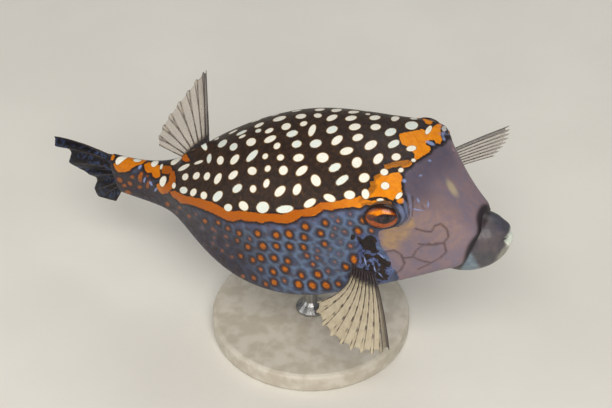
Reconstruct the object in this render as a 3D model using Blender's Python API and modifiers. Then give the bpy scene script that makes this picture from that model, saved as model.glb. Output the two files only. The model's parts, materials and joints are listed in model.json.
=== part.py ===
"""A male spotted boxfish as a life-size display model, nose up a little on a round stand.

The fish is drawn in its own frame in millimetres (x towards the mouth, y to its left,
z up) and every mesh is then placed on the stand by one pose matrix, in metres, +Z up.
"""

import math

import bmesh
import bpy
import numpy as np
from mathutils import Matrix, Vector

for old in list(bpy.data.objects):
    bpy.data.objects.remove(old, do_unlink=True)

MM = 0.001

# pose on the stand
NOSE_UP_DEG = 12.8
AXIS_HEIGHT = 55.0  # of the fish's own origin above the floor

# gaps between neighbours
PART_GAP = 0.3
DORSAL_STANDOFF, ANAL_STANDOFF, PECTORAL_STANDOFF = 0.8, 1.2, 1.35  # root line to skin

# body stations: x, crown z, ridge half width, ridge z, keel half width, keel z, belly z, sway
STATIONS = (
    (-78.0, 9.6, 2.4, 6.8, 2.4, -2.4, -5.2, 8.0),
    (-70.0, 9.6, 3.0, 6.6, 3.0, -2.2, -5.2, 5.2),
    (-62.0, 9.4, 4.0, 6.4, 3.6, -2.2, -5.2, 2.8),
    (-54.0, 9.8, 5.4, 6.4, 4.8, -2.6, -5.6, 1.0),
    (-46.0, 10.1, 9.2, 7.0, 8.2, -3.4, -5.8, 0.2),
    (-37.0, 16.0, 15.5, 8.4, 14.5, -10.9, -12.9, 0.0),
    (-26.0, 21.5, 21.7, 9.9, 20.5, -17.6, -19.6, 0.0),
    (-13.0, 26.0, 26.1, 10.9, 23.8, -21.8, -23.8, 0.0),
    (0.0, 28.6, 28.3, 11.6, 24.6, -22.9, -24.9, 0.0),
    (13.0, 27.8, 27.3, 12.0, 23.6, -21.0, -23.0, 0.0),
    (25.0, 24.6, 25.5, 13.0, 21.0, -19.2, -21.2, 0.0),
    (33.5, 20.6, 24.4, 13.8, 18.0, -18.4, -20.4, 0.0),
    (40.0, 16.2, 23.8, 13.4, 15.8, -17.6, -19.3, 0.0),
    (45.0, 9.3, 16.9, 7.5, 13.8, -16.8, -18.4, 0.0),
    (51.0, 1.8, 10.2, 0.3, 11.6, -16.5, -18.0, 0.0),
    (57.0, -5.7, 7.2, -7.5, 8.5, -16.5, -18.0, 0.0),
    (63.0, -9.6, 4.9, -11.2, 6.0, -16.4, -17.9, 0.0),
)
RING_POINTS = 16  # control points round a station, from the crown down the right side
CROWN, BELLY = 0.0, 8.0  # places round the ring, as counts of control points
SQUARENESS = 1.03  # how far a corner's control points stand out past the half width

# where the body is parted
STALK_START, STALK_END = -73.0, -46.5
CARAPACE_END = 27.5
HEAD_END = 62.0
STALK_ROWS, CARAPACE_ROWS = 8, 24
HEAD_FINE_TO, HEAD_FINE_ROWS, HEAD_COARSE_ROWS = 40.5, 16, 8
BODY_COLUMNS = 40
EYE_COLUMNS_FROM, EYE_COLUMNS_TO, EYE_COLUMNS = 1.9, 3.6, 17
HEAD_COLUMNS = 12  # in each of the spans above and below the eyes

# the oblique plane where the lips meet the face
MUZZLE_POINT = (56.6, 0.0, -4.5)
MUZZLE_NORMAL = (0.85, 0.0, -0.53)

# lips: one plump bulb split along the mouth, with a small open mouth at its front
LIP_CENTRE = (50.1, 0.0, -14.5)
LIP_HALF = (9.9, 9.1, 13.9)  # down, sideways, forwards
LIP_TILT_DEG = -76.0
MOUTH_FRONT = (63.6, 0.0, -12.4)
MOUTH_SLOPE_DEG = -25.0
MOUTH_HALF = (4.6, 3.6, 1.5)
MOUTH_SUNK = 2.6  # the opening's centre behind the front of the lips
TOOTH_SUNK = 1.1

# eyes
EYE_X, EYE_RING = 34.1, 2.8
EYE_HALF = (5.4, 4.1, 3.0)
EYE_SUNK = 1.3
RIM_HEIGHT, RIM_WIDTH, RIM_AT = 0.7, 0.17, 1.02
BROW_HEIGHT, BROW_ABOVE, BROW_LONG, BROW_DEEP = 1.2, 6.4, 7.0, 2.0

# nostrils and gill slits
NOSTRIL_X, NOSTRIL_RING, NOSTRIL_RADIUS = 44.4, 1.76, 0.85
GILL_X, GILL_RING, GILL_HALF = 24.2, 3.95, (0.8, 4.2, 1.6)
GILL_LEAN_DEG = 14.0

# fins
MEMBRANE = 0.56
RAY_THICK = 1.05
COLUMNS_PER_RAY = 4
FIN_ROWS = 8

# stand
BASE_RADIUS, BASE_THICK, BASE_BEVEL = 33.0, 7.0, 1.2
BASE_SEGMENTS = 48
ROD_RADIUS, ROD_FOOT_RADIUS, ROD_FOOT_HEIGHT, ROD_FOOT_EDGE = 2.2, 5.0, 3.5, 0.8
ROD_SEGMENTS = 20

COLOURS = {
    "skin_back": (0.07, 0.045, 0.035),
    "skin_head": (0.32, 0.27, 0.33),
    "skin_stalk": (0.45, 0.22, 0.04),
    "lips": (0.13, 0.15, 0.20),
    "teeth": (0.80, 0.82, 0.72),
    "eye": (0.75, 0.30, 0.03),
    "fin_clear": (0.62, 0.56, 0.48),
    "fin_tail": (0.05, 0.05, 0.08),
    "stand_base": (0.72, 0.70, 0.66),
    "stand_rod": (0.55, 0.56, 0.58),
}


def collection(name):
    made = bpy.data.collections.new(name)
    bpy.context.scene.collection.children.link(made)
    return made


MODEL = collection("spotted_boxfish")
CUTTERS = collection("cutters")
CUTTERS.hide_render = True


def material(name):
    found = bpy.data.materials.get(name)
    if found:
        return found
    made = bpy.data.materials.new(name)
    made.use_nodes = True
    shader = made.node_tree.nodes["Principled BSDF"]
    shader.inputs["Base Color"].default_value = (*COLOURS[name], 1.0)
    shader.inputs["Roughness"].default_value = 0.45
    made.diffuse_color = (*COLOURS[name], 1.0)
    return made


def pose_matrix():
    """From the fish's millimetres to the row's metres."""
    tilt = Matrix.Rotation(math.radians(-NOSE_UP_DEG), 4, "Y")
    return Matrix.Translation((0, 0, AXIS_HEIGHT * MM)) @ tilt @ Matrix.Scale(MM, 4)


POSE = pose_matrix()


def finish(name, work, slot, where=MODEL, to_row=POSE):
    """Turns a bmesh in millimetres into an object with its vertices in the row's metres."""
    bmesh.ops.transform(work, matrix=to_row, verts=work.verts)
    bmesh.ops.recalc_face_normals(work, faces=work.faces)
    mesh = bpy.data.meshes.new(name)
    work.to_mesh(mesh)
    work.free()
    mesh.materials.append(material(slot))
    made = bpy.data.objects.new(name, mesh)
    where.objects.link(made)
    if where is CUTTERS:
        made.display_type = "WIRE"
        made.hide_render = True
    return made


def place(name, points, faces, slot):
    """A lofted mesh from its points in the fish's millimetres."""
    mesh = bpy.data.meshes.new(name + "_loft")
    mesh.from_pydata([tuple(point) for point in points], [], faces)
    work = bmesh.new()
    work.from_mesh(mesh)
    bpy.data.meshes.remove(mesh)
    return finish(name, work, slot)


def subtract(target, cutter):
    cut = target.modifiers.new("cut_" + cutter.name, "BOOLEAN")
    cut.operation = "DIFFERENCE"
    cut.solver = "EXACT"
    cut.object = cutter


# the body surface: a bicubic B-spline over the stations


def station_ring(station):
    """The control points round one station, crown first, down the right side."""
    x, crown, ridge_y, ridge, keel_y, keel, belly, sway = station
    half = (
        (0.0, crown),
        (ridge_y * 0.55, crown - (crown - ridge) * 0.22),
        (ridge_y * 0.97, ridge + (crown - ridge) * 0.18),
        (ridge_y * SQUARENESS, ridge - (ridge - keel) * 0.10),
        ((ridge_y + keel_y) / 2 * 0.97, (ridge + keel) / 2),
        (keel_y * SQUARENESS, keel + (ridge - keel) * 0.08),
        (keel_y * 0.92, keel - (keel - belly) * 0.6),
        (keel_y * 0.45, belly),
        (0.0, belly),
    )
    right = [(x, sway - y, z) for y, z in half]
    left = [(x, sway + y, z) for y, z in half[-2:0:-1]]
    return right + left


CAGE = np.array([station_ring(station) for station in STATIONS])


def spline_weights(count, places, closed):
    """One row of uniform cubic B-spline weights for each place along count points."""
    places = np.asarray(places, float)
    first = np.floor(places).astype(int)
    if not closed:
        first = np.clip(first, 0, count - 2)
    t = places - first
    basis = np.stack([(1 - t) ** 3, 3 * t**3 - 6 * t**2 + 4,
                      -3 * t**3 + 3 * t**2 + 3 * t + 1, t**3], 1) / 6
    weights = np.zeros((len(places), count))
    for row in range(len(places)):
        for step in range(4):
            index, share = first[row] - 1 + step, basis[row, step]
            if closed:
                weights[row, index % count] += share
            elif index < 0:
                weights[row, 0] += 2 * share
                weights[row, 1] -= share
            elif index >= count:
                weights[row, -1] += 2 * share
                weights[row, -2] -= share
            else:
                weights[row, index] += share
    return weights


def surface(stations, rings):
    """Points of the body at places along it and round it: an array of (along, round, 3)."""
    along = spline_weights(len(STATIONS), stations, closed=False)
    around = spline_weights(RING_POINTS, rings, closed=True)
    return np.einsum("ui,vj,ijk->uvk", along, around, CAGE)


SEARCH = np.linspace(0, len(STATIONS) - 1, 800)
SEARCH_X = surface(SEARCH, [0.0])[:, 0, 0]


def station_at(x):
    return np.interp(x, SEARCH_X, SEARCH)


def skin_at(x, ring):
    """A point of the body surface, its outward normal and the forward tangent there."""
    at, step = station_at(x), 0.02
    patch = surface([at - step, at, at + step], [ring - step, ring, ring + step])
    forward = patch[2, 1] - patch[0, 1]
    down = patch[1, 2] - patch[1, 0]
    normal = np.cross(down, forward)
    forward /= np.linalg.norm(forward)
    return patch[1, 1], normal / np.linalg.norm(normal), forward


def local_frame(x, ring, lean_deg=0.0):
    """Centre and axes of a feature on the skin: forwards, upwards and outwards."""
    centre, outward, _ = skin_at(x, ring)
    up = np.array([math.sin(math.radians(lean_deg)), 0.0, math.cos(math.radians(lean_deg))])
    up -= outward * (up @ outward)
    up /= np.linalg.norm(up)
    forward = np.cross(up, outward)
    if forward[0] < 0:
        forward = -forward
    return centre, forward, up, outward


def mirrored(ring):
    return RING_POINTS - ring


EYES = {"right": local_frame(EYE_X, EYE_RING), "left": local_frame(EYE_X, mirrored(EYE_RING))}


def face_relief(points):
    """How far the orbital rims and brows stand off the plain surface, in millimetres."""
    lift = np.zeros(points.shape[:-1])
    for centre, forward, up, outward in EYES.values():
        offset = points - centre
        along, above, off = offset @ forward, offset @ up, offset @ outward
        near = np.exp(-((off / 6.0) ** 2))
        reach = np.hypot(along / EYE_HALF[0], above / EYE_HALF[1])
        lift += near * RIM_HEIGHT * np.exp(-(((reach - RIM_AT) / RIM_WIDTH) ** 2))
        brow = (along / BROW_LONG) ** 2 + ((above - BROW_ABOVE) / BROW_DEEP) ** 2
        lift += near * BROW_HEIGHT * np.exp(-brow)
    return lift


def outward_normals(points):
    across = np.roll(points, -1, axis=1) - np.roll(points, 1, axis=1)
    along = np.gradient(points, axis=0)
    normals = np.cross(across, along)
    return normals / np.linalg.norm(normals, axis=-1, keepdims=True)


def closed_tube(points):
    """Vertices and triangles of a tube of rings with a fan over each end."""
    rows, columns = points.shape[:2]
    vertices = list(points.reshape(-1, 3))
    faces = []
    for row in range(rows - 1):
        for column in range(columns):
            a, b = row * columns + column, row * columns + (column + 1) % columns
            faces += [(a, a + columns, b + columns), (a, b + columns, b)]
    for row, flip in ((0, False), (rows - 1, True)):
        vertices.append(points[row].mean(axis=0))
        middle = len(vertices) - 1
        for column in range(columns):
            a, b = row * columns + column, row * columns + (column + 1) % columns
            faces.append((middle, b, a) if flip else (middle, a, b))
    return vertices, faces


def body_part(name, places_x, rings, slot, relief=None):
    points = surface([station_at(x) for x in places_x], rings)
    points[:, :, 0] = np.asarray(places_x)[:, None]
    if relief is not None:
        points = points + outward_normals(points) * relief(points)[..., None]
    return place(name, *closed_tube(points), slot)


def head_rings():
    """Places round the head, closer together where the eyes are."""
    eye = np.linspace(EYE_COLUMNS_FROM, EYE_COLUMNS_TO, EYE_COLUMNS)
    below = np.linspace(EYE_COLUMNS_TO, mirrored(EYE_COLUMNS_TO), HEAD_COLUMNS + 1)[1:-1]
    far_eye = [mirrored(ring) for ring in eye[::-1]]
    above = np.linspace(mirrored(EYE_COLUMNS_FROM), RING_POINTS + EYE_COLUMNS_FROM,
                        HEAD_COLUMNS + 1)[1:-1]
    return np.concatenate([eye, below, far_eye, above])


def slice_off(obj, point, normal):
    """Removes what lies past a plane given in the fish's frame, and closes the cut."""
    cut_plane(obj, POSE @ Vector(point), (POSE.to_3x3() @ Vector(normal)).normalized())


def cut_plane(obj, plane_point, plane_normal):
    """The same for a plane given in the row's metres."""
    work = bmesh.new()
    work.from_mesh(obj.data)
    everything = work.verts[:] + work.edges[:] + work.faces[:]
    cut = bmesh.ops.bisect_plane(work, geom=everything, dist=1e-6, plane_co=plane_point,
                                 plane_no=plane_normal, clear_outer=True)
    edges = [item for item in cut["geom_cut"] if isinstance(item, bmesh.types.BMEdge)]
    bmesh.ops.holes_fill(work, edges=edges, sides=0)
    bmesh.ops.triangulate(work, faces=work.faces)
    bmesh.ops.recalc_face_normals(work, faces=work.faces)
    work.to_mesh(obj.data)
    work.free()


def ellipsoid(name, centre, axes, half, slot, where=MODEL, segments=20, rings=12):
    """An ellipsoid given by a centre, three unit axes and its half lengths."""
    columns = [Vector(axis) * length for axis, length in zip(axes, half)]
    shape = Matrix([list(row) for row in zip(*columns)]).to_4x4()
    shape.translation = Vector(centre)
    work = bmesh.new()
    bmesh.ops.create_uvsphere(work, u_segments=segments, v_segments=rings, radius=1.0,
                              matrix=shape)
    bmesh.ops.triangulate(work, faces=work.faces)
    return finish(name, work, slot, where)


# body, eyes and lips


def build_body():
    gap = PART_GAP / 2
    rings = np.arange(BODY_COLUMNS) * RING_POINTS / BODY_COLUMNS
    stalk = np.linspace(STALK_START, STALK_END - gap, STALK_ROWS)
    body_part("tail_stalk", stalk, rings, "skin_stalk")
    trunk = np.linspace(STALK_END + gap, CARAPACE_END - gap, CARAPACE_ROWS)
    carapace = body_part("carapace", trunk, rings, "skin_back")
    face = np.concatenate([
        np.linspace(CARAPACE_END + gap, HEAD_FINE_TO, HEAD_FINE_ROWS),
        np.linspace(HEAD_FINE_TO, HEAD_END, HEAD_COARSE_ROWS + 1)[1:],
    ])
    head = body_part("head", face, head_rings(), "skin_head", face_relief)
    slice_off(head, MUZZLE_POINT, MUZZLE_NORMAL)
    return carapace, head


def build_eyes(head):
    for side, (centre, forward, up, outward) in EYES.items():
        middle = centre - outward * EYE_SUNK
        axes = (forward, up, outward)
        ellipsoid("eye_" + side, middle, axes, EYE_HALF, "eye")
        room = [length + PART_GAP for length in EYE_HALF]
        socket = ellipsoid("socket_" + side, middle, axes, room, "eye", CUTTERS)
        subtract(head, socket)


def build_nostrils(head):
    for side, ring in (("right", NOSTRIL_RING), ("left", mirrored(NOSTRIL_RING))):
        centre, forward, up, outward = local_frame(NOSTRIL_X, ring)
        half = (NOSTRIL_RADIUS, NOSTRIL_RADIUS, NOSTRIL_RADIUS * 1.3)
        pit = ellipsoid("nostril_" + side, centre, (forward, up, outward), half, "eye",
                        CUTTERS, segments=10, rings=6)
        subtract(head, pit)


def build_gills(carapace):
    for side, ring in (("right", GILL_RING), ("left", mirrored(GILL_RING))):
        centre, forward, up, outward = local_frame(GILL_X, ring, GILL_LEAN_DEG)
        slit = ellipsoid("gill_" + side, centre, (forward, up, outward), GILL_HALF, "eye",
                         CUTTERS, segments=12, rings=8)
        subtract(carapace, slit)


def tilted_axes(tilt_deg):
    """Forward, left and up axes turned nose up by an angle in the fish's middle plane."""
    tilt = math.radians(tilt_deg)
    ahead = np.array([math.cos(tilt), 0.0, math.sin(tilt)])
    left = np.array([0.0, 1.0, 0.0])
    return ahead, left, np.cross(ahead, left)


def build_mouth():
    ahead, left, up = tilted_axes(MOUTH_SLOPE_DEG)
    front = np.array(MOUTH_FRONT)
    face_normal = np.array(MUZZLE_NORMAL) / np.linalg.norm(MUZZLE_NORMAL)
    face_plane = np.array(MUZZLE_POINT) + face_normal * PART_GAP
    middle = front - ahead * MOUTH_SUNK
    opening = ellipsoid("mouth_opening", middle, (ahead, left, up), MOUTH_HALF, "lips", CUTTERS)
    for name, sign in (("upper_lip", 1), ("lower_lip", -1)):
        lip = ellipsoid(name, LIP_CENTRE, tilted_axes(LIP_TILT_DEG), LIP_HALF, "lips",
                        segments=28, rings=18)
        slice_off(lip, face_plane, -face_normal)
        slice_off(lip, front + up * sign * PART_GAP / 2, -up * sign)
        subtract(lip, opening)
    room = [length - PART_GAP for length in MOUTH_HALF]
    teeth = ellipsoid("teeth", middle, (ahead, left, up), room, "teeth", rings=10)
    slice_off(teeth, front - ahead * TOOTH_SUNK, ahead)


# fins


def blend(values, places):
    """Catmull-Rom interpolation through the rays' points, at fractional ray numbers."""
    values = np.asarray(values, float)
    last = len(values) - 1
    made = []
    for place_along in places:
        at = min(int(place_along), last - 1)
        t = place_along - at
        before, after = values[max(at - 1, 0)], values[min(at + 2, last)]
        a, b = values[at], values[at + 1]
        made.append(0.5 * (2 * a + (b - before) * t + (2 * before - 5 * a + 4 * b - after) * t**2
                           + (3 * a - before - 3 * b + after) * t**3))
    return np.array(made)


def fin(name, roots, bends, tips, slot, root_thick=2.0, scallop=0.04, reaches=None):
    """A fin of bent rays: ridges on a thin membrane, both faces triangulated alike."""
    rays = len(tips)
    places = np.linspace(0, rays - 1, (rays - 1) * COLUMNS_PER_RAY + 1)
    start, middle, end = (blend(values, places) for values in (roots, bends, tips))
    reach = 1 - scallop * np.sin(math.pi * places) ** 2
    if reaches is not None:
        reach = reach * np.interp(places, range(rays), reaches)
    along = np.linspace(0, 1, FIN_ROWS + 1)[:, None] * reach[None, :]
    t = along[..., None]
    sheet = (1 - t) ** 2 * start + 2 * t * (1 - t) * middle + t**2 * end
    normals = np.cross(np.gradient(sheet, axis=1), np.gradient(sheet, axis=0))
    normals /= np.linalg.norm(normals, axis=-1, keepdims=True)
    crest = np.cos(math.pi * places)[None, :] ** 4 * (1 - 0.45 * along)
    thick = MEMBRANE + (RAY_THICK - MEMBRANE) * crest
    thick = thick + (root_thick - RAY_THICK) * np.exp(-((along / 0.13) ** 2))
    offset = normals * thick[..., None] / 2
    return place(name, *closed_sheet(sheet + offset, sheet - offset), slot)


def closed_sheet(front, back):
    """Vertices and triangles of a thin solid between two matching grids."""
    rows, columns = front.shape[:2]
    total = rows * columns
    vertices = np.concatenate([front.reshape(-1, 3), back.reshape(-1, 3)])
    faces = []
    for row in range(rows - 1):
        for column in range(columns - 1):
            a = row * columns + column
            b, c, d = a + 1, a + columns + 1, a + columns
            faces += [(a, b, c), (a, c, d)]
            faces += [(a + total, c + total, b + total), (a + total, d + total, c + total)]
    border = list(range(columns))
    border += [row * columns + columns - 1 for row in range(1, rows)]
    border += [(rows - 1) * columns + column for column in range(columns - 2, -1, -1)]
    border += [row * columns for row in range(rows - 2, 0, -1)]
    for a, b in zip(border, border[1:] + border[:1]):
        faces += [(a, a + total, b + total), (a, b + total, b)]
    return vertices, faces


def skin_line(x_from, ring_from, x_to, ring_to, count, standoff):
    """Root points of a fin, a little off the skin, between two places on the body."""
    made = []
    for share in np.linspace(0, 1, count):
        x = x_from + (x_to - x_from) * share
        point, normal, _ = skin_at(x, ring_from + (ring_to - ring_from) * share)
        made.append(point + normal * standoff)
    return np.array(made)


def spread(first, last, count):
    return np.linspace(first, last, count)


DORSAL_TIPS = (
    (-31.5, 11.3, 39.7), (-32.6, 11.0, 39.1), (-35.4, 9.9, 36.8), (-38.6, 8.4, 33.6),
    (-42.2, 6.8, 30.2), (-45.6, 4.9, 26.6), (-48.2, 3.2, 23.4), (-50.0, 1.7, 20.2),
    (-50.2, 0.8, 17.4),
)
ANAL_TIPS = (
    (-44.0, 11.0, -19.5), (-46.8, 12.2, -19.0), (-49.6, 12.8, -17.8), (-52.0, 12.8, -16.0),
    (-53.8, 12.2, -14.0), (-54.8, 11.0, -12.2), (-55.2, 9.4, -10.8), (-55.0, 7.6, -9.8),
)
RIGHT_PECTORAL_TIPS = (
    (8.4, -29.0, -19.4), (8.2, -30.8, -22.0), (10.2, -33.0, -25.2), (13.2, -34.7, -27.8),
    (16.4, -36.0, -29.9), (19.8, -36.7, -31.3), (23.2, -36.9, -32.0), (26.6, -36.7, -32.3),
    (29.6, -36.2, -32.1), (32.2, -35.3, -31.2),
)
LEFT_PECTORAL_TOP, LEFT_PECTORAL_LOW = (55.0, 40.5, 1.0), (50.1, 35.4, -7.4)
LEFT_PECTORAL_BULGE = (1.4, 1.0, -0.4)
TAIL_TIPS = (
    (-102.3, 17.0, 8.2), (-101.0, 16.0, 6.3), (-95.5, 14.0, 4.9), (-96.1, 14.0, 0.9),
    (-93.0, 12.6, -2.0), (-87.8, 11.5, -2.2), (-86.3, 11.0, -4.9), (-87.2, 11.0, -7.8),
    (-86.8, 9.6, -11.4), (-78.0, 7.8, -10.4),
)
TAIL_ROOT_TOP, TAIL_ROOT_LOW = (-73.4, 6.4, 8.4), (-73.4, 6.4, -4.2)
TAIL_PLEAT = 0.9


def build_dorsal():
    count = len(DORSAL_TIPS)
    roots = skin_line(-31.5, CROWN, -41.0, CROWN, count, DORSAL_STANDOFF)
    tips = np.array(DORSAL_TIPS)
    bends = roots * 0.5 + tips * 0.5 + spread((1.2, -1.6, 1.4), (0.4, -0.8, 0.6), count)
    fin("dorsal_fin", roots, bends, tips, "fin_clear", root_thick=2.2)


def build_anal():
    count = len(ANAL_TIPS)
    roots = skin_line(-36.0, BELLY, -44.5, BELLY, count, ANAL_STANDOFF)
    tips = np.array(ANAL_TIPS)
    bends = roots * 0.5 + tips * 0.5 + spread((0.4, -1.8, -1.6), (0.2, -1.0, -0.8), count)
    fin("anal_fin", roots, bends, tips, "fin_clear", root_thick=1.6)


def build_pectorals():
    right = np.array(RIGHT_PECTORAL_TIPS)
    count = len(right)
    roots = skin_line(21.0, 4.15, 26.0, 4.55, count, PECTORAL_STANDOFF)
    bends = spread((21.8, -27.2, -15.7), (29.8, -26.6, -19.4), count)
    fin("pectoral_fin_right", roots, bends, right, "fin_clear", root_thick=1.6)
    left = spread(LEFT_PECTORAL_TOP, LEFT_PECTORAL_LOW, count)
    left += np.sin(np.linspace(0, math.pi, count))[:, None] * LEFT_PECTORAL_BULGE
    roots = skin_line(26.0, mirrored(4.15), 22.0, mirrored(4.6), count, PECTORAL_STANDOFF)
    bends = roots + spread((11.0, 8.6, 3.4), (12.0, 8.0, 1.4), count)
    fin("pectoral_fin_left", roots, bends, left, "fin_clear", root_thick=1.6)


def build_tail_fin():
    tips = np.array(TAIL_TIPS)
    count = len(tips)
    roots = spread(TAIL_ROOT_TOP, TAIL_ROOT_LOW, count)
    fold = TAIL_PLEAT * (-1.0) ** np.arange(count)
    tips[:, 1] += fold
    bends = roots * 0.45 + tips * 0.55 + spread((0, -1.5, 3.2), (0, -1.5, -0.8), count)
    bends[:, 1] += fold * 0.6
    fin("tail_fin", roots, bends, tips, "fin_tail", root_thick=2.4, scallop=0.03)


# stand


def belly_height(x):
    """Height of the belly's underside above the floor at a place along the row's X."""
    line = surface(SEARCH, [BELLY])[:, 0]
    world = np.array([list(POSE @ Vector(point)) for point in line]) / MM
    return float(np.interp(x, world[:, 0], world[:, 2]))


def build_base():
    work = bmesh.new()
    bmesh.ops.create_cone(work, cap_ends=True, segments=BASE_SEGMENTS, radius1=BASE_RADIUS,
                          radius2=BASE_RADIUS, depth=BASE_THICK,
                          matrix=Matrix.Translation((0, 0, BASE_THICK / 2)))
    base = finish("stand_base", work, "stand_base", to_row=Matrix.Scale(MM, 4))
    edge = base.modifiers.new("edge", "BEVEL")
    edge.width = BASE_BEVEL * MM
    edge.segments = 2
    edge.limit_method = "ANGLE"


def build_rod():
    """A turned rod with a flared foot, its top cut to the slope of the belly."""
    foot = BASE_THICK + PART_GAP
    profile = ((0.0, foot), (ROD_FOOT_RADIUS, foot), (ROD_FOOT_RADIUS, foot + ROD_FOOT_EDGE),
               (ROD_RADIUS + ROD_FOOT_EDGE, foot + ROD_FOOT_HEIGHT * 0.7),
               (ROD_RADIUS, foot + ROD_FOOT_HEIGHT), (ROD_RADIUS, AXIS_HEIGHT), (0.0, AXIS_HEIGHT))
    work = bmesh.new()
    points = [work.verts.new((radius, 0, height)) for radius, height in profile]
    lines = [work.edges.new(pair) for pair in zip(points, points[1:])]
    bmesh.ops.spin(work, geom=points + lines, angle=2 * math.pi, steps=ROD_SEGMENTS,
                   axis=(0, 0, 1), cent=(0, 0, 0))
    bmesh.ops.remove_doubles(work, verts=work.verts, dist=1e-4)
    rod = finish("stand_rod", work, "stand_rod", to_row=Matrix.Scale(MM, 4))
    low, high = belly_height(-ROD_RADIUS), belly_height(ROD_RADIUS)
    slope = Vector((low - high, 0, 2 * ROD_RADIUS)).normalized()
    top = Vector((0, 0, (low + high) / 2 - PART_GAP))
    cut_plane(rod, top * MM, slope)


def main():
    carapace, head = build_body()
    build_eyes(head)
    build_nostrils(head)
    build_gills(carapace)
    build_mouth()
    build_dorsal()
    build_anal()
    build_pectorals()
    build_tail_fin()
    build_base()
    build_rod()


main()
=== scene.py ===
"""Looks of a life-size display model of a male spotted boxfish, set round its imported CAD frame.

The fish is drawn in its own frame in millimetres (x towards the mouth, y to its left, z up),
as the CAD part is, and every mesh is placed on the stand by one pose. Its markings are laid
on one skin as fields: how far in millimetres each point lies inside a spot, band or zone.
The materials turn those fields to paint. Marks seen in the photograph are given by their
place in the 612 x 408 picture and are then laid on the body, and on its far side in mirror.
"""

import json
import logging
import math
from dataclasses import dataclass
from enum import Enum

import bpy
import numpy as np
from mathutils import Matrix

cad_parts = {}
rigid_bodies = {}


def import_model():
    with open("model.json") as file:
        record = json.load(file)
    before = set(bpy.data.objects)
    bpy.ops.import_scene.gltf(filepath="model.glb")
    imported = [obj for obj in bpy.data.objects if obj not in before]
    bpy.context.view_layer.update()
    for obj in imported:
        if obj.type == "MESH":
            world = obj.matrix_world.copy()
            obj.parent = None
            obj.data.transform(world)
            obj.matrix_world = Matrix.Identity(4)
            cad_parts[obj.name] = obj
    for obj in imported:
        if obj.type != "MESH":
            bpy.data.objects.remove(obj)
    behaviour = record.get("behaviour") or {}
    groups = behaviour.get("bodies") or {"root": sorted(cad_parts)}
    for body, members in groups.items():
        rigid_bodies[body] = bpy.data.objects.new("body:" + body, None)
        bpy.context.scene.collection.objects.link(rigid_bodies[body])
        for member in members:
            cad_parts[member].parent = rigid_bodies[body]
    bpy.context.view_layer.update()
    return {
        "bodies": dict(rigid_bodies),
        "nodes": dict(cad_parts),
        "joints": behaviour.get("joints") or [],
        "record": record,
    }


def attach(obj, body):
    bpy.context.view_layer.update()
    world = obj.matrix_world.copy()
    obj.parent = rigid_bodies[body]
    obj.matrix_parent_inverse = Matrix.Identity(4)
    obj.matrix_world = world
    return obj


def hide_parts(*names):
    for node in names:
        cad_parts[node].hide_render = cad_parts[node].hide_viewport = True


MM = 0.001
LOG = logging.getLogger("boxfish")
FLIP = np.array([1.0, -1.0, 1.0])  # from one side of the fish to the other
TINY = 1e-12  # keeps divisions off zero

Array = np.ndarray
Fields = dict[str, Array]
Faces = list[list[int]]
Object = bpy.types.Object
Material = bpy.types.Material
NodeTree = bpy.types.NodeTree
Socket = bpy.types.NodeSocket
Value = float | tuple | Socket
Point = tuple[float, float]
Triple = tuple[float, float, float]
Outline = tuple[Point, ...]
Rows = tuple[tuple[float, ...], ...]


class Side(Enum):
    """The fish's own sides."""

    RIGHT = "right"
    LEFT = "left"


# general helpers


def linear(code: str) -> tuple[float, float, float, float]:
    """Turns an sRGB hex colour to linear RGBA.

    Args:
        code: six hex digits with a leading #.

    Returns:
        Linear red, green and blue by the sRGB standard's curve, with alpha 1.
    """
    parts = [int(code[at : at + 2], 16) / 255 for at in (1, 3, 5)]
    made = [c / 12.92 if c <= 0.04045 else ((c + 0.055) / 1.055) ** 2.4 for c in parts]
    return made[0], made[1], made[2], 1.0


def add(tree: NodeTree, kind: str, sockets: dict[str | int, Value] | None = None,
        out: str | None = None, **settings: object) -> Socket | None:
    """Adds a node with its settings and links.

    Args:
        tree: the node tree.
        kind: the node's bl_idname.
        sockets: a value or a linked output for each input, by name or index.
        out: the output wanted, if it isn't the first that is in use.
        **settings: properties of the node, set before its inputs.

    Returns:
        The wanted output, or None for a node that has none.
    """
    node = tree.nodes.new(kind)
    for name, value in settings.items():
        setattr(node, name, value)
    for key, value in (sockets or {}).items():
        socket = node.inputs[key] if isinstance(key, int) else next(
            s for s in node.inputs if s.enabled and s.name == key)
        if isinstance(value, Socket):
            tree.links.new(value, socket)
        else:
            socket.default_value = value
    usable = [s for s in node.outputs if s.enabled and out in (None, s.name)]
    return usable[0] if usable else None


def calc(tree: NodeTree, operation: str, *values: Value) -> Socket:
    """Adds a Math node with its values or links in order."""
    return add(tree, "ShaderNodeMath", dict(enumerate(values)), operation=operation)


def spread(tree: NodeTree, value: Socket, span: Point, ends: Point = (0.0, 1.0),
           **settings: object) -> Socket:
    """Adds a Map Range node that turns a span of values to new ends."""
    return add(tree, "ShaderNodeMapRange", {
        "Value": value, "From Min": span[0], "From Max": span[1], "To Min": ends[0],
        "To Max": ends[1]}, **settings)


def smooth(low: float, high: float, values: Array) -> Array:
    """A smooth step from 0 at low to 1 at high."""
    t = np.clip((values - low) / (high - low), 0.0, 1.0)
    return t * t * (3 - 2 * t)


def bell(values: Array, width: float) -> Array:
    """1 at zero, falling off on both sides over a width."""
    return np.exp(-((values / width) ** 2))


def unit(vector: Array) -> Array:
    """The vector, or each row of vectors, at length one."""
    return vector / np.maximum(np.linalg.norm(vector, axis=-1, keepdims=True), TINY)


def ellipse_reach(along: Array, above: Array, half: Point, at: Point = (0.0, 0.0)) -> Array:
    """How far places lie from the middle of an ellipse, counted as 1 at its edge."""
    return np.hypot((along - at[0]) / half[0], (above - at[1]) / half[1])


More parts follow.
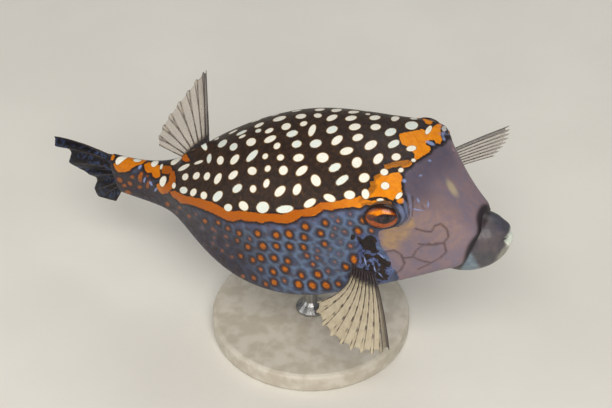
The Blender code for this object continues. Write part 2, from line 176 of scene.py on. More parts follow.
def tilted_axes(tilt_deg: float) -> Array:
    """Forward, left and up axes turned nose up in the fish's middle plane, as rows."""
    tilt = math.radians(tilt_deg)
    ahead = np.array([math.cos(tilt), 0.0, math.sin(tilt)])
    left = np.array([0.0, 1.0, 0.0])
    return np.stack([ahead, left, np.cross(ahead, left)])


def look_axes(azimuth_deg: float, elevation_deg: float) -> Array:
    """Right, up and back of what faces the fish, in the row's frame, as rows.

    Args:
        azimuth_deg: where it stands round the fish, 0 towards -Y and 90 towards +X.
        elevation_deg: how high it stands.

    Returns:
        The three unit axes.
    """
    a, e = math.radians(azimuth_deg), math.radians(elevation_deg)
    back = np.array([math.sin(a) * math.cos(e), -math.cos(a) * math.cos(e), math.sin(e)])
    right = np.array([math.cos(a), math.sin(a), 0.0])
    return np.stack([right, np.cross(back, right), back])


@dataclass(frozen=True)
class Pose:
    """How the fish stands over the floor."""

    nose_up_deg: float = 12.8
    axis_height_mm: float = 55.0

    def axes(self) -> Array:
        """The fish's x, y and z axes in the row's frame, as rows."""
        return tilted_axes(self.nose_up_deg)

    def to_row(self, points: Array) -> Array:
        """Points in the fish's millimetres as points in the row's metres."""
        return (points @ self.axes() + np.array([0, 0, self.axis_height_mm])) * MM


POSE = Pose()


def linked(name: str, data: bpy.types.ID) -> Object:
    """An object of mesh, light or camera data, put in the scene."""
    made = bpy.data.objects.new(name, data)
    bpy.context.scene.collection.objects.link(made)
    return made


def aim(made: Object, axes: Array, distance_m: float) -> None:
    """Stands a camera or light off from the fish, so that it faces the fish."""
    spot = axes[2] * distance_m + np.array([0, 0, POSE.axis_height_mm * MM])
    rows = [[*row, at] for row, at in zip(axes.T.tolist(), spot.tolist())]
    made.matrix_world = Matrix(rows + [[0.0, 0.0, 0.0, 1.0]])


# finishes: each is layers of paint, kept to where a field of the mesh is past an edge


@dataclass(frozen=True)
class Coat:
    """One layer of paint.

    Attributes:
        field: the mesh attribute that says where it goes.
        edge: the field's value at the middle of the paint's edge.
        soft: how far to either side of that the edge fades.
        colour: sRGB hex.
        mottle: a second colour, mixed in by noise.
        grain_mm: size of that noise.
        ragged: how far noise moves the edge, in the field's own unit.
        strength: the most the layer covers.
        below: True if the paint lies where the field is under the edge.
    """

    field: str
    edge: float
    soft: float
    colour: str
    mottle: str = ""
    grain_mm: float = 2.0
    ragged: float = 0.0
    strength: float = 1.0
    below: bool = False


@dataclass(frozen=True)
class Finish:
    """A painted or natural surface, from its base colour up.

    Attributes:
        name: what the surface is.
        base, mottle: the two colours under all the layers, mixed by noise.
        grain_mm: size of that noise.
        coats: the layers over it, lowest first.
        ragged_mm: size of the noise that moves ragged edges.
        roughness, roughness_spread: the mean, and how far noise moves it.
        bump_mm, bump_grain_mm: depth and size of the fine relief.
        relief_field: a mesh attribute that adds relief, as a share of bump_mm.
        gloss: weight of a clear coat over it all.
        ior: of the surface under the coat.
        metallic: 1 for bare metal.
        clear_field: a mesh attribute with how solid the surface is, for thin membranes.
        stretch: scale of the grain along the object's X, Y and Z.
    """

    name: str
    base: str
    mottle: str
    grain_mm: float = 2.0
    coats: tuple[Coat, ...] = ()
    ragged_mm: float = 0.8
    roughness: float = 0.45
    roughness_spread: float = 0.1
    bump_mm: float = 0.03
    bump_grain_mm: float = 0.5
    relief_field: str = ""
    gloss: float = 0.0
    ior: float = 1.45
    metallic: float = 0.0
    clear_field: str = ""
    stretch: Triple = (1.0, 1.0, 1.0)

    noise_detail = 3.0
    rough_span = (0.3, 0.7)  # the noise's values that roughness is spread over
    mottle_span = (0.36, 0.64)  # the same for the second colour
    gloss_roughness = 0.12

    def build(self) -> Material:
        """Makes the material.

        Returns:
            The material, all procedural, on Object coordinates and mesh attributes.
        """
        made = bpy.data.materials.new(self.name)
        made.use_nodes = True
        tree = made.node_tree
        tree.nodes.clear()
        place = add(tree, "ShaderNodeTexCoord", out="Object")
        place = add(tree, "ShaderNodeMapping", {"Vector": place, "Scale": self.stretch})
        sizes = {self.grain_mm, self.ragged_mm, self.bump_grain_mm}
        sizes |= {coat.grain_mm for coat in self.coats}
        noise = {size: add(tree, "ShaderNodeTexNoise", {
            "Vector": place, "Scale": 1 / (size * MM), "Detail": self.noise_detail})
            for size in sorted(sizes)}
        names = {coat.field for coat in self.coats} | {self.relief_field, self.clear_field}
        fields = {name: add(tree, "ShaderNodeAttribute", out="Fac", attribute_name=name)
                  for name in sorted(names - {""})}
        colour = self._mottled(tree, noise[self.grain_mm], self.base, self.mottle)
        for coat in self.coats:
            mask = self._mask(tree, coat, fields[coat.field], noise[self.ragged_mm])
            paint = self._mottled(tree, noise[coat.grain_mm], coat.colour,
                                  coat.mottle or coat.colour)
            colour = add(tree, "ShaderNodeMix", {"Factor": mask, "A": colour, "B": paint},
                         data_type="RGBA")
        rough = spread(tree, noise[self.grain_mm], self.rough_span, (
            self.roughness - self.roughness_spread, self.roughness + self.roughness_spread))
        height = noise[self.bump_grain_mm]
        if self.relief_field:
            height = calc(tree, "ADD", height, fields[self.relief_field])
        bump = add(tree, "ShaderNodeBump", {"Height": height, "Distance": self.bump_mm * MM})
        sockets: dict[str | int, Value] = {
            "Base Color": colour, "Roughness": rough, "Normal": bump,
            "Metallic": self.metallic, "IOR": self.ior, "Coat Weight": self.gloss,
            "Coat Roughness": self.gloss_roughness}
        if self.clear_field:
            sockets["Alpha"] = fields[self.clear_field]
        shader = add(tree, "ShaderNodeBsdfPrincipled", sockets)
        add(tree, "ShaderNodeOutputMaterial", {"Surface": shader})
        made.diffuse_color = linear(self.base)
        return made

    def _mottled(self, tree: NodeTree, noise: Socket, one: str, two: str) -> Value:
        """Two colours mixed by noise, or the one colour if they are the same."""
        if one == two:
            return linear(one)
        share = spread(tree, noise, self.mottle_span, interpolation_type="SMOOTHSTEP")
        return add(tree, "ShaderNodeMix",
                   {"Factor": share, "A": linear(one), "B": linear(two)}, data_type="RGBA")

    def _mask(self, tree: NodeTree, coat: Coat, field: Socket, noise: Socket) -> Socket:
        """How much of the coat lies at each point, from 0 to its strength."""
        value = field
        if coat.ragged:
            moved = calc(tree, "MULTIPLY_ADD", noise, 2 * coat.ragged, -coat.ragged)
            value = calc(tree, "ADD", field, moved)
        ends = (coat.strength, 0.0) if coat.below else (0.0, coat.strength)
        return spread(tree, value, (coat.edge - coat.soft, coat.edge + coat.soft), ends,
                      interpolation_type="SMOOTHSTEP")


# Boxfish hide: thin skin over bony plates, kept matt by its slime coat, with flat pigment.
HIDE = Finish(
    "boxfish_hide_over_bony_plates", "#3c4662", "#454b60", 1.5,
    coats=(
        Coat("net_mm", 0.5, 0.55, "#667b9f", "#5e7289", 1.5, ragged=0.6, below=True,
             strength=0.8),
        Coat("violet", 0.5, 0.5, "#595b80", "#5b6283", 1.5, ragged=0.3, strength=0.5),
        # painted shade over the rear flanks, the underside and the back towards the tail
        Coat("dusk", 0.5, 0.5, "#2a1e1c", "#262236", 1.6, strength=0.88),
        Coat("freckle_mm", -0.15, 0.5, "#2e2830", "#4a3a38", 1.0, ragged=0.45, strength=0.62),
        Coat("ringed_mm", -0.92, 0.5, "#2a1f20", "#362c30", 0.8, ragged=0.4, strength=0.86),
        Coat("ringed_mm", -0.1, 0.3, "#74390e", "#562c16", 0.7, ragged=0.3, strength=0.92),
        Coat("ringed_mm", 0.24, 0.32, "#c87004", "#a0540a", 0.6, ragged=0.4),
        Coat("faint", 0.5, 0.5, "#54668a", "#5a6676", 1.6, strength=0.74),
        # the same painted shade again, lighter, over the spots and the faint blue
        Coat("dusk", 0.5, 0.5, "#2a1e1c", "#262236", 1.6, strength=0.42),
        Coat("back_mm", 0.0, 0.16, "#2a1e19", "#37271e", 1.6, ragged=0.3),
        Coat("face_mm", 0.0, 0.2, "#857279", "#7a6e7c", 3.4, ragged=0.7),
        Coat("blush", 0.5, 0.5, "#957d78", "#88757c", 2.4, strength=0.8),
        Coat("brow", 0.5, 0.5, "#504d60", "#5a5262", 2.4, strength=0.85),
        Coat("tan", 0.5, 0.5, "#ad8d66", "#9a7e68", 2.4, ragged=0.2, strength=0.85),
        Coat("straw", 0.5, 0.5, "#b6a887", ragged=0.15, strength=0.75),
        Coat("suture_mm", 0.34, 0.34, "#4f3c3c", ragged=0.2, strength=0.66, below=True),
        Coat("edge_mm", 0.42, 0.25, "#241d22", ragged=0.3, strength=0.8, below=True),
        Coat("gill_mm", -0.75, 0.35, "#5a689c", "#454f78", 1.0, ragged=2.2, strength=0.75),
        Coat("gill_mm", 0.0, 0.3, "#17110f", "#241b1a", 0.6, ragged=2.2),
        Coat("smoke_mm", 0.0, 0.14, "#150f0f", "#241c1c", 0.6, ragged=0.6),
        Coat("ochre_mm", -1.15, 0.6, "#2a2834", ragged=0.5, strength=0.6),
        Coat("ochre_mm", -0.72, 0.36, "#1f1612", ragged=0.3, strength=0.9),
        Coat("ochre_mm", 0.0, 0.16, "#ee9000", "#e38400", 1.8, ragged=0.4),
        Coat("ochre_dim", 0.5, 0.5, "#7a4a12", "#9a5f10", 1.0, ragged=0.5, strength=0.8),
        Coat("ochre_rear", 0.5, 0.5, "#a34e00", strength=0.85),
        Coat("pale_mm", 0.0, 0.3, "#8d9fd0", ragged=0.2, strength=0.85),
        Coat("spot_mm", -0.12, 0.14, "#9a7027", strength=0.75),
        Coat("spot_mm", 0.1, 0.12, "#f6f3ea", "#e9e8da", 0.5),
        Coat("spot_cool", 0.5, 0.5, "#cfe2e2", strength=0.5),
        Coat("orbit_pale", 0.5, 0.4, "#6f7796", ragged=0.2, strength=0.6),
        Coat("orbit", 0.5, 0.4, "#1d1716", strength=0.9),
        # painted shade in the crease where the skin tucks in against the lips
        Coat("crease", 0.5, 0.5, "#17141a", strength=0.92),
    ),
    ragged_mm=1.3, roughness=0.5, roughness_spread=0.09, bump_mm=0.08,
    bump_grain_mm=0.35, relief_field="plates", gloss=0.06, ior=1.33)

# Lip skin: soft, darker and smoother than the hide, with a thin wet film.
LIP_SKIN = Finish(
    "soft_lip_skin", "#5a5256", "#4c4850", 2.6,
    coats=(
        Coat("shade_mm", 0.0, 1.0, "#494b50", ragged=0.8, strength=0.7),
        Coat("cool_mm", 0.2, 0.9, "#7f939e", "#6d7f8e", 1.5, ragged=0.5, strength=0.85),
        Coat("slate_mm", 0.0, 0.6, "#3d4247", "#4a4655", 2.0, ragged=0.5, strength=0.9),
        Coat("rim_mm", 0.1, 0.9, "#a9a798", "#8f8d84", 1.4, ragged=0.5, strength=0.8),
        # painted shade in the grooves of the folds behind the mouth
        Coat("fold", 0.5, 0.5, "#332f36", strength=0.16),
        Coat("white_mm", 0.1, 0.5, "#dfe4d4", "#c9d4cf", 0.8, ragged=0.35, strength=0.95),
        # painted shade inside the open slit
        Coat("gape", 0.5, 0.3, "#1a1416"),
        # painted shade where the lips go in under the skin
        Coat("root", 0.5, 0.5, "#2a2022", strength=0.85),
    ),
    ragged_mm=0.9, roughness=0.46, bump_mm=0.04, bump_grain_mm=0.3, gloss=0.15, ior=1.37)

# Eyeball: metallic-looking pigment under a wet, glass-smooth cornea.
EYEBALL = Finish(
    "pigmented_iris_under_cornea", "#3a3038", "#4a3c40", 0.8,
    coats=(
        Coat("iris_mm", 0.0, 0.15, "#a84e06", "#8c3e06", 0.6),
        # painted highlight: lighter orange over the top of the iris
        Coat("upper_iris", 0.5, 0.45, "#e88c08", "#d67204", 0.7, ragged=0.15),
        Coat("rim_mm", -0.1, 0.16, "#2a1712"),
        Coat("corner_mm", -0.1, 0.4, "#2c1c26", strength=0.85),
        Coat("pupil_mm", -0.22, 0.2, "#4a1f10"),
        Coat("pupil_mm", 0.05, 0.12, "#120c10", "#3a2c30", 1.2),
        # painted reflection: a dark glint in the pupil
        Coat("glint_zone", 0.5, 0.4, "#08060a"),
    ),
    ragged_mm=0.5, roughness=0.28, roughness_spread=0.04, bump_mm=0.008,
    bump_grain_mm=0.25, gloss=0.3, ior=1.34)

# Fin membrane: a film of skin so thin that what is behind it shows through.
CLEAR_MEMBRANE = Finish(
    "thin_fin_membrane", "#a89a88", "#938678", 2.5,
    coats=(
        # painted light: the cream of a lit, clear fin web
        Coat("pale_web", 0.5, 0.5, "#ddd0b2", "#cfc1a3", 2.0, strength=0.9),
        Coat("shade", 0.5, 0.5, "#3d3230", "#2e2728", 0.8, strength=0.95),
        Coat("dash", 0.5, 0.3, "#33292a", strength=0.8),
        Coat("root_dark", 0.5, 0.4, "#1a1416", "#2c2228", 0.8, ragged=0.3),
    ),
    ragged_mm=0.7, roughness=0.4, bump_mm=0.02, bump_grain_mm=0.4, ior=1.4,
    clear_field="solid")

# Fin ray: jointed bone in a sleeve of skin, faintly waxy.
FIN_RAY = Finish(
    "jointed_fin_ray", "#6b5b50", "#46393a", 1.3,
    coats=(
        Coat("ray_dark", 0.5, 0.5, "#211a1b", "#302728", 1.2, strength=0.95),
    ),
    ragged_mm=0.6, roughness=0.42, bump_mm=0.02, bump_grain_mm=0.3)

# Tail membrane: thick, folded skin, nearly opaque, with blue marbling over black-brown.
TAIL_MEMBRANE = Finish(
    "folded_tail_membrane", "#100e14", "#1c171d", 1.5,
    coats=(
        Coat("marble", 0.8, 0.2, "#42557c", "#33436a", 1.0, ragged=0.9, strength=0.75),
        Coat("dash", 0.5, 0.3, "#241a18", ragged=0.2, strength=0.6),
    ),
    ragged_mm=1.6, roughness=0.5, bump_mm=0.05, bump_grain_mm=0.5, ior=1.24,
    clear_field="solid")

# Tooth enamel: hard and pale, mottled with a faint stain.
ENAMEL = Finish(
    "tooth_enamel", "#e6e4d6", "#d6cfb4", 0.6, roughness=0.22, roughness_spread=0.05,
    bump_mm=0.01, bump_grain_mm=0.2, gloss=0.4, ior=1.62)

# Limestone, sawn and honed: matt and pale with small shell flecks.
HONED_LIMESTONE = Finish(
    "honed_limestone", "#cfc9bd", "#bdb5a6", 5.0, roughness=0.55, roughness_spread=0.08,
    bump_mm=0.03, bump_grain_mm=0.6, ior=1.5)

# Stainless rod, brushed along its length, so the grain is fine round it and long up it.
BRUSHED_STEEL = Finish(
    "brushed_stainless_steel", "#b9babb", "#a5a6a8", 1.2, roughness=0.3,
    roughness_spread=0.08, bump_mm=0.004, bump_grain_mm=0.15, ior=1.5, metallic=1.0,
    stretch=(1.0, 1.0, 0.04))

# Studio floor: seamless paper, its tooth too fine to show.
SEAMLESS_PAPER = Finish(
    "matt_seamless_paper", "#e3e1db", "#dfddd7", 60.0, roughness=0.85,
    roughness_spread=0.03, bump_mm=0.05, bump_grain_mm=2.0)


class Wardrobe:
    """Builds each finish once and hands it out."""

    def __init__(self) -> None:
        """Starts with nothing built."""
        self._built: dict[str, Material] = {}

    def get(self, finish: Finish) -> Material:
        """The finish's material, made on its first use."""
        if finish.name not in self._built:
            self._built[finish.name] = finish.build()
        return self._built[finish.name]


WARDROBE = Wardrobe()


def mesh_object(name: str, points: Array, edges: Faces, faces: Faces,
                fields: Fields) -> Object:
    """Makes a mesh object from points in the fish's millimetres.

    Args:
        name: of the object.
        points: an array of (count, 3).
        edges, faces: the points that each edge or face joins.
        fields: values at the points, kept as float attributes.

    Returns:
        The object, at the origin, with its place in its mesh.
    """
    mesh = bpy.data.meshes.new(name)
    mesh.from_pydata(POSE.to_row(points).tolist(), edges, faces)
    for key, values in fields.items():
        layer = mesh.attributes.new(key, "FLOAT", "POINT")
        layer.data.foreach_set("value", np.asarray(values, np.float32).ravel())
    return linked(name, mesh)


def piece(name: str, points: Array, faces: Faces, finish: Finish, fields: Fields) -> Object:
    """Makes a smooth, painted mesh object from points in the fish's millimetres."""
    made = mesh_object(name, points, [], faces, fields)
    made.data.polygons.foreach_set("use_smooth", np.ones(len(faces), bool))
    made.data.materials.append(WARDROBE.get(finish))
    return made


def settle(made: Object, slot: str, *nodes: str) -> None:
    """Tells the frame what a piece rides on, and hides the nodes that it stands for."""
    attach(made, "root")
    if nodes:
        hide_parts(*nodes)
    LOG.info("%s: %d faces, stands for %s", made.name, len(made.data.polygons),
             ", ".join(nodes) or "no node")


def tube_faces(rows: int, columns: int) -> Faces:
    """Faces of a closed tube of rings, with a fan to one more point over each end."""
    total = rows * columns
    number = np.arange(total).reshape(rows, columns)
    after = np.roll(number, -1, axis=1)
    walls = np.stack([number[:-1], number[1:], after[1:], after[:-1]], -1).reshape(-1, 4)
    faces = walls.tolist()
    faces += [[total, a, b] for a, b in zip(number[0].tolist(), after[0].tolist())]
    faces += [[total + 1, b, a] for a, b in zip(number[-1].tolist(), after[-1].tolist())]
    return faces


def sheet_faces(rows: int, columns: int) -> Faces:
    """Faces of a thin solid between two matching grids, front then back."""
    total = rows * columns
    number = np.arange(total).reshape(rows, columns)
    a, b, c, d = number[:-1, :-1], number[:-1, 1:], number[1:, 1:], number[1:, :-1]
    front, back = np.stack([a, b, c, d], -1), np.stack([a, d, c, b], -1) + total
    sides = np.stack([front, back], 2).reshape(-1, 4)
    border = np.concatenate([number[0], number[1:, -1], number[-1, -2::-1],
                             number[-2:0:-1, 0]])
    after = np.roll(border, -1)
    rim = np.stack([border, border + total, after + total, after], 1)
    return np.concatenate([sides, rim]).tolist()


# the body surface: the CAD part's own B-spline, evaluated finely


@dataclass(frozen=True)
class BodySurface:
    """The fish's body as a bicubic B-spline over stations, as in the CAD part.

    A place on it is x in millimetres and a ring number: 0 at the crown, about 2.5 at the
    right ridge, 5 at the right keel, 8 at the belly, and 16 less the same on the left.
    """

    # x, crown z, ridge half width, ridge z, keel half width, keel z, belly z, sway
    stations: Rows = (
        (-78.0, 9.6, 2.4, 6.8, 2.4, -2.4, -5.2, 8.0),
        (-70.0, 9.6, 3.0, 6.6, 3.0, -2.2, -5.2, 5.2),
        (-62.0, 9.4, 4.0, 6.4, 3.6, -2.2, -5.2, 2.8),
        (-54.0, 9.8, 5.4, 6.4, 4.8, -2.6, -5.6, 1.0),
        (-46.0, 10.1, 9.2, 7.0, 8.2, -3.4, -5.8, 0.2),
        (-37.0, 16.0, 15.5, 8.4, 14.5, -10.9, -12.9, 0.0),
        (-26.0, 21.5, 21.7, 9.9, 20.5, -17.6, -19.6, 0.0),
        (-13.0, 26.0, 26.1, 10.9, 23.8, -21.8, -23.8, 0.0),
        (0.0, 28.6, 28.3, 11.6, 24.6, -22.9, -24.9, 0.0),
        (13.0, 27.8, 27.3, 12.0, 23.6, -21.0, -23.0, 0.0),
        (25.0, 24.6, 25.5, 13.0, 21.0, -19.2, -21.2, 0.0),
        (33.5, 20.6, 24.4, 13.8, 18.0, -18.4, -20.4, 0.0),
        (40.0, 16.2, 23.8, 13.4, 15.8, -17.6, -19.3, 0.0),
        (45.0, 9.3, 16.9, 7.5, 13.8, -16.8, -18.4, 0.0),
        (51.0, 1.8, 10.2, 0.3, 11.6, -16.5, -18.0, 0.0),
        (57.0, -5.7, 7.2, -7.5, 8.5, -16.5, -18.0, 0.0),
        (63.0, -9.6, 4.9, -11.2, 6.0, -16.4, -17.9, 0.0),
    )
    ring_points: int = 16
    squareness: float = 1.03
    belly: float = 8.0
    normal_step: float = 0.02
    search_steps: int = 800

    def cage(self) -> Array:
        """Control points: stations by ring points by x, y and z."""
        rings = []
        for x, crown, ridge_y, ridge, keel_y, keel, belly, sway in self.stations:
            # shares of the half widths and heights, crown to belly, as in the CAD part
            half = (
                (0.0, crown),
                (ridge_y * 0.55, crown - (crown - ridge) * 0.22),
                (ridge_y * 0.97, ridge + (crown - ridge) * 0.18),
                (ridge_y * self.squareness, ridge - (ridge - keel) * 0.10),
                ((ridge_y + keel_y) / 2 * 0.97, (ridge + keel) / 2),
                (keel_y * self.squareness, keel + (ridge - keel) * 0.08),
                (keel_y * 0.92, keel - (keel - belly) * 0.6),
                (keel_y * 0.45, belly),
                (0.0, belly),
            )
            right = [(x, sway - y, z) for y, z in half]
            rings.append(right + [(x, sway + y, z) for y, z in half[-2:0:-1]])
        return np.array(rings)

    @staticmethod
    def weights(count: int, places: Array, closed: bool) -> Array:
        """Uniform cubic B-spline weights, a row for each place along count points."""
        places = np.asarray(places, float)
        first = np.floor(places).astype(int)
        if not closed:
            first = np.clip(first, 0, count - 2)
        t = places - first
        basis = np.stack([(1 - t) ** 3, 3 * t**3 - 6 * t**2 + 4,
                          -3 * t**3 + 3 * t**2 + 3 * t + 1, t**3], 1) / 6
        rows, index = np.arange(len(places))[:, None], first[:, None] + np.arange(4)
        made = np.zeros((len(places), count + 2))
        if closed:
            np.add.at(made, (rows, (index - 1) % count + 1), basis)
            return made[:, 1:-1]
        np.add.at(made, (rows, index), basis)
        for past, last, before in ((0, 1, 2), (-1, -2, -3)):
            # a point past either end lies in line with the last two
            made[:, last] += 2 * made[:, past]
            made[:, before] -= made[:, past]
        return made[:, 1:-1]

    def grid(self, stations: Array, rings: Array) -> Array:
        """Points at places along the stations and round the rings."""
        along = self.weights(len(self.stations), stations, closed=False)
        around = self.weights(self.ring_points, rings, closed=True)
        return np.einsum("ui,vj,ijk->uvk", along, around, self.cage())

    def station_at(self, x: float | Array) -> Array:
        """The place along the stations where the body has this x."""
        search = np.linspace(0, len(self.stations) - 1, self.search_steps)
        return np.interp(x, self.grid(search, np.zeros(1))[:, 0, 0], search)

    def skin_at(self, x: float, ring: float) -> tuple[Array, Array]:
        """A point of the body and its outward normal."""
        steps = np.array([-1, 0, 1]) * self.normal_step
        patch = self.grid(float(self.station_at(x)) + steps, ring + steps)
        normal = np.cross(patch[1, 2] - patch[1, 0], patch[2, 1] - patch[0, 1])
        return patch[1, 1], unit(normal)

    def frame_at(self, x: float, ring: float, lean_deg: float = 0.0) -> "LocalFrame":
        """Axes of a feature on the skin: forwards, upwards and outwards."""
        centre, outward = self.skin_at(x, ring)
        lean = math.radians(lean_deg)
        up = np.array([math.sin(lean), 0.0, math.cos(lean)])
        up = unit(up - outward * (up @ outward))
        forward = np.cross(up, outward)
        return LocalFrame(centre, forward if forward[0] > 0 else -forward, up, outward)

    def line(self, start: Point, end: Point, count: int, standoff: float) -> Array:
        """Points a little off the skin between two places given as (x, ring)."""
        places = [self.skin_at(x, ring) for x, ring in np.linspace(start, end, count)]
        return np.array([point + normal * standoff for point, normal in places])

    def on(self, side: Side, ring: float) -> float:
        """A place of the right side, or the same place on the left."""
        return ring if side is Side.RIGHT else self.ring_points - ring

    def half_ring(self, rings: Array) -> Array:
        """Each place as if it were on the right side."""
        return np.minimum(rings, self.ring_points - rings)

    def across(self, points: Array) -> Array:
        """Mirror images on the fish's other side, allowing for the tail's sway."""
        made = points * FLIP
        sway = np.interp(points[..., 0], *zip(*((s[0], s[-1]) for s in self.stations)))
        made[..., 1] += 2 * sway
        return made


@dataclass(frozen=True)
class LocalFrame:
    """A place on the skin with its own axes."""

    centre: Array
    forward: Array
    up: Array
    outward: Array

    def offsets(self, points: Array) -> tuple[Array, Array, Array]:
        """How far points lie forwards, upwards and outwards of the centre."""
        away = points - self.centre
        return away @ self.forward, away @ self.up, away @ self.outward


BODY = BodySurface()


@dataclass(frozen=True)
class EyeSizes:
    """Place and size of an eye and of the relief round it.

    A reach is counted from the eye's middle, 1 at its edge.
    """

    x: float = 34.1
    ring: float = 2.8
    half: Triple = (5.4, 4.1, 3.0)
    sunk: float = 1.3
    rim_height: float = 0.34
    rim_width: float = 0.1
    rim_at: float = 1.03
    # brow and temple: height, place and half size
    swellings: tuple[tuple[float, Point, Point], ...] = (
        (2.0, (4.4, 7.8), (6.4, 2.6)), (0.95, (6.9, 0.4), (2.8, 2.8)))
    socket_depth: float = 2.2
    socket_edge: Point = (0.92, 0.55)
    fold_height: float = 0.16
    fold_every: float = 0.105
    folds_begin: Point = (1.1, 1.2)
    folds_end: Point = (1.75, 1.45)
    folds_front: float = 0.7
    relief_off: float = 6.0
    paint_off: float = 8.0
    ring_at: Point = (0.98, 0.075)  # the dark ring's reach and width
    fold_lines: tuple[float, ...] = (1.24, 1.42, 1.6)
    fold_dark: Point = (0.62, 0.05)  # strength and width
    fold_pale: Point = (0.09, 0.055)  # how far inside the dark line, and width
    lines_turn: float = 0.05
    lines_fan: Point = (0.5, 0.9)
    lines_top: Point = (3.6, 2.0)

    def frame(self, side: Side) -> LocalFrame:
        """The eye's own axes on one side."""
        return BODY.frame_at(self.x, BODY.on(side, self.ring))

    def relief(self, side: Side, points: Array) -> Array:
        """The rim, the socket, the folds in front and the swellings round one eye."""
        along, above, off = self.frame(side).offsets(points)
        reach = ellipse_reach(along, above, self.half)
        front = np.clip(along / self.half[0] / np.maximum(reach, TINY), 0, 1)
        folds = self.fold_height * np.sin((reach - self.folds_begin[0]) / self.fold_every
                                          * math.pi) * front**self.folds_front
        folds *= smooth(*self.folds_begin, reach) * smooth(*self.folds_end, reach)
        lift = self.rim_height * bell(reach - self.rim_at, self.rim_width) + folds
        lift -= self.socket_depth * smooth(*self.socket_edge, reach)
        for height, at, half in self.swellings:
            lift += height * bell(ellipse_reach(along, above, half, at), 1.0)
        return bell(off, self.relief_off) * lift

    def orbit(self, side: Side, points: Array) -> tuple[Array, Array]:
        """The dark ring round one eye with its fold lines, and the pale folds."""
        along, above, off = self.frame(side).offsets(points)
        here = ellipse_reach(along, above, self.half)
        near = np.abs(off) < self.paint_off
        front = smooth(*self.lines_fan, np.cos(np.arctan2(above, along) - self.lines_turn))
        front *= smooth(*self.lines_top, above) * near
        dark, pale = bell(here - self.ring_at[0], self.ring_at[1]) * near, np.zeros(len(here))
        for at in self.fold_lines:
            dark += self.fold_dark[0] * bell(here - at, self.fold_dark[1]) * front
            pale += bell(here - at + self.fold_pale[0], self.fold_pale[1]) * front
        return dark, pale


EYE = EyeSizes()


@dataclass(frozen=True)
class Opening:
    """A hole in the skin with a low rim, alike on both sides.

    Attributes:
        x, ring: its place on the right side.
        half: its half length and half height.
        lean_deg: how far it leans.
        rim, rim_at, rim_wide: the rim's height, and its reach and width in half sizes.
        depth, depth_wide: of the hole.
        off: how far off its own plane it still counts.
    """

    x: float
    ring: float
    half: Point
    lean_deg: float
    rim: float
    rim_at: float
    rim_wide: float
    depth: float
    depth_wide: float
    off: float

    def relief(self, side: Side, points: Array) -> Array:
        """How far its rim stands up, or its hole goes in, on one side."""
        frame = BODY.frame_at(self.x, BODY.on(side, self.ring), self.lean_deg)
        along, above, off = frame.offsets(points)
        reach = ellipse_reach(along, above, self.half)
        lift = self.rim * bell(reach - self.rim_at, self.rim_wide)
        lift -= self.depth * bell(reach, self.depth_wide)
        return np.where(np.abs(off) < self.off, lift, 0)


NOSTRIL = Opening(44.4, 1.76, (0.85, 0.85), 0.0, 0.16, 1.35, 0.4, 0.9, 0.75, 6.0)
GILL_SLIT = Opening(24.2, 3.95, (0.8, 4.2), 14.0, 0.35, 1.5, 0.5, 1.3, 0.8, 8.0)


@dataclass(frozen=True)
class MouthSizes:
    """Sizes of the lips and teeth, as in the CAD part where it has them."""

    centre: Triple = (50.1, 0.0, -14.5)
    half: Triple = (9.9, 9.1, 13.9)
    tilt_deg: float = -76.0
    front: Triple = (63.6, 0.0, -12.4)
    slope_deg: float = -25.0
    # the slit: half height, depth, half width, and where it comes in behind the front
    gape_half: float = 0.5
    gape_depth: float = 1.9
    gape_wide: float = 3.8
    gape_from: Point = (-7.5, -3.0)
    # swollen lip edges, and the fine creases across them
    lip_swell: float = 0.55
    swell_at: float = 1.7
    swell_wide: float = 0.9
    crease_depth: float = 0.06
    crease_turns: float = 5.2
    crease_at: float = 1.6
    crease_wide: float = 1.4
    # folds round behind the mouth
    fold_depth: float = 0.07
    folds_at: Point = (6.4, 8.2)
    folds_middle: float = -2.0
    folds_narrow: float = 0.9
    folds_lean: float = 0.15
    folds_end: Point = (9.5, 5.0)
    teeth: int = 10
    tooth_length: float = 1.5
    tooth_radius: float = 0.27
    jaw_wide: float = 2.7
    jaw_back: float = 1.5
    jaw_curve: float = 0.16
    jaw_gap: float = 0.15

    def bulb_distance(self, points: Array) -> Array:
        """About how far in millimetres points lie outside the lips' plain bulb."""
        away = (points - np.array(self.centre)) @ tilted_axes(self.tilt_deg).T / self.half
        return (np.linalg.norm(away, axis=-1) - 1) * float(np.mean(self.half))


MOUTH = MouthSizes()


# reading places off the photograph


@dataclass(frozen=True)
class PhotoCamera:
    """The photograph's camera, and where it sees the fish's own origin."""

    azimuth_deg: float = 20.1
    elevation_deg: float = 38.3
    distance_mm: float = 520.0
    pixels_per_mm: float = 3.15
    image: tuple[int, int] = (612, 408)
    origin_px: Point = (311.0, 195.5)
    sensor_mm: float = 36.0

    def axes(self) -> Array:
        """Right, up and back in the fish's own frame, as rows."""
        return look_axes(self.azimuth_deg, self.elevation_deg) @ POSE.axes().T

    def project(self, points: Array) -> Array:
        """Pixels at which points of the fish are seen."""
        right, up, back = self.axes()
        scale = self.pixels_per_mm * self.distance_mm / (self.distance_mm - points @ back)
        return np.stack([self.origin_px[0] + points @ right * scale,
                         self.origin_px[1] - points @ up * scale], -1)

    def onto_plane(self, px: float, py: float, point: Array, normal: Array) -> Array:
        """Where the ray through a pixel meets a plane."""
        right, up, back = self.axes()
        focal = self.pixels_per_mm * self.distance_mm
        ray = (right * (px - self.origin_px[0]) - up * (py - self.origin_px[1])) / focal - back
        eye = back * self.distance_mm
        return eye + ray * ((point - eye) @ normal / (ray @ normal))

    def build(self) -> None:
        """Makes the scene's camera."""
        wide, high = self.image
        data = bpy.data.cameras.new("photo_camera")
        data.sensor_width = self.sensor_mm
        data.lens = self.pixels_per_mm * self.distance_mm * self.sensor_mm / wide
        data.shift_x = (wide / 2 - self.origin_px[0]) / wide
        data.shift_y = (self.origin_px[1] - high / 2) / wide
        made = linked("photo_camera", data)
        aim(made, look_axes(self.azimuth_deg, self.elevation_deg), self.distance_mm * MM)
        bpy.context.scene.camera = made


CAMERA = PhotoCamera()


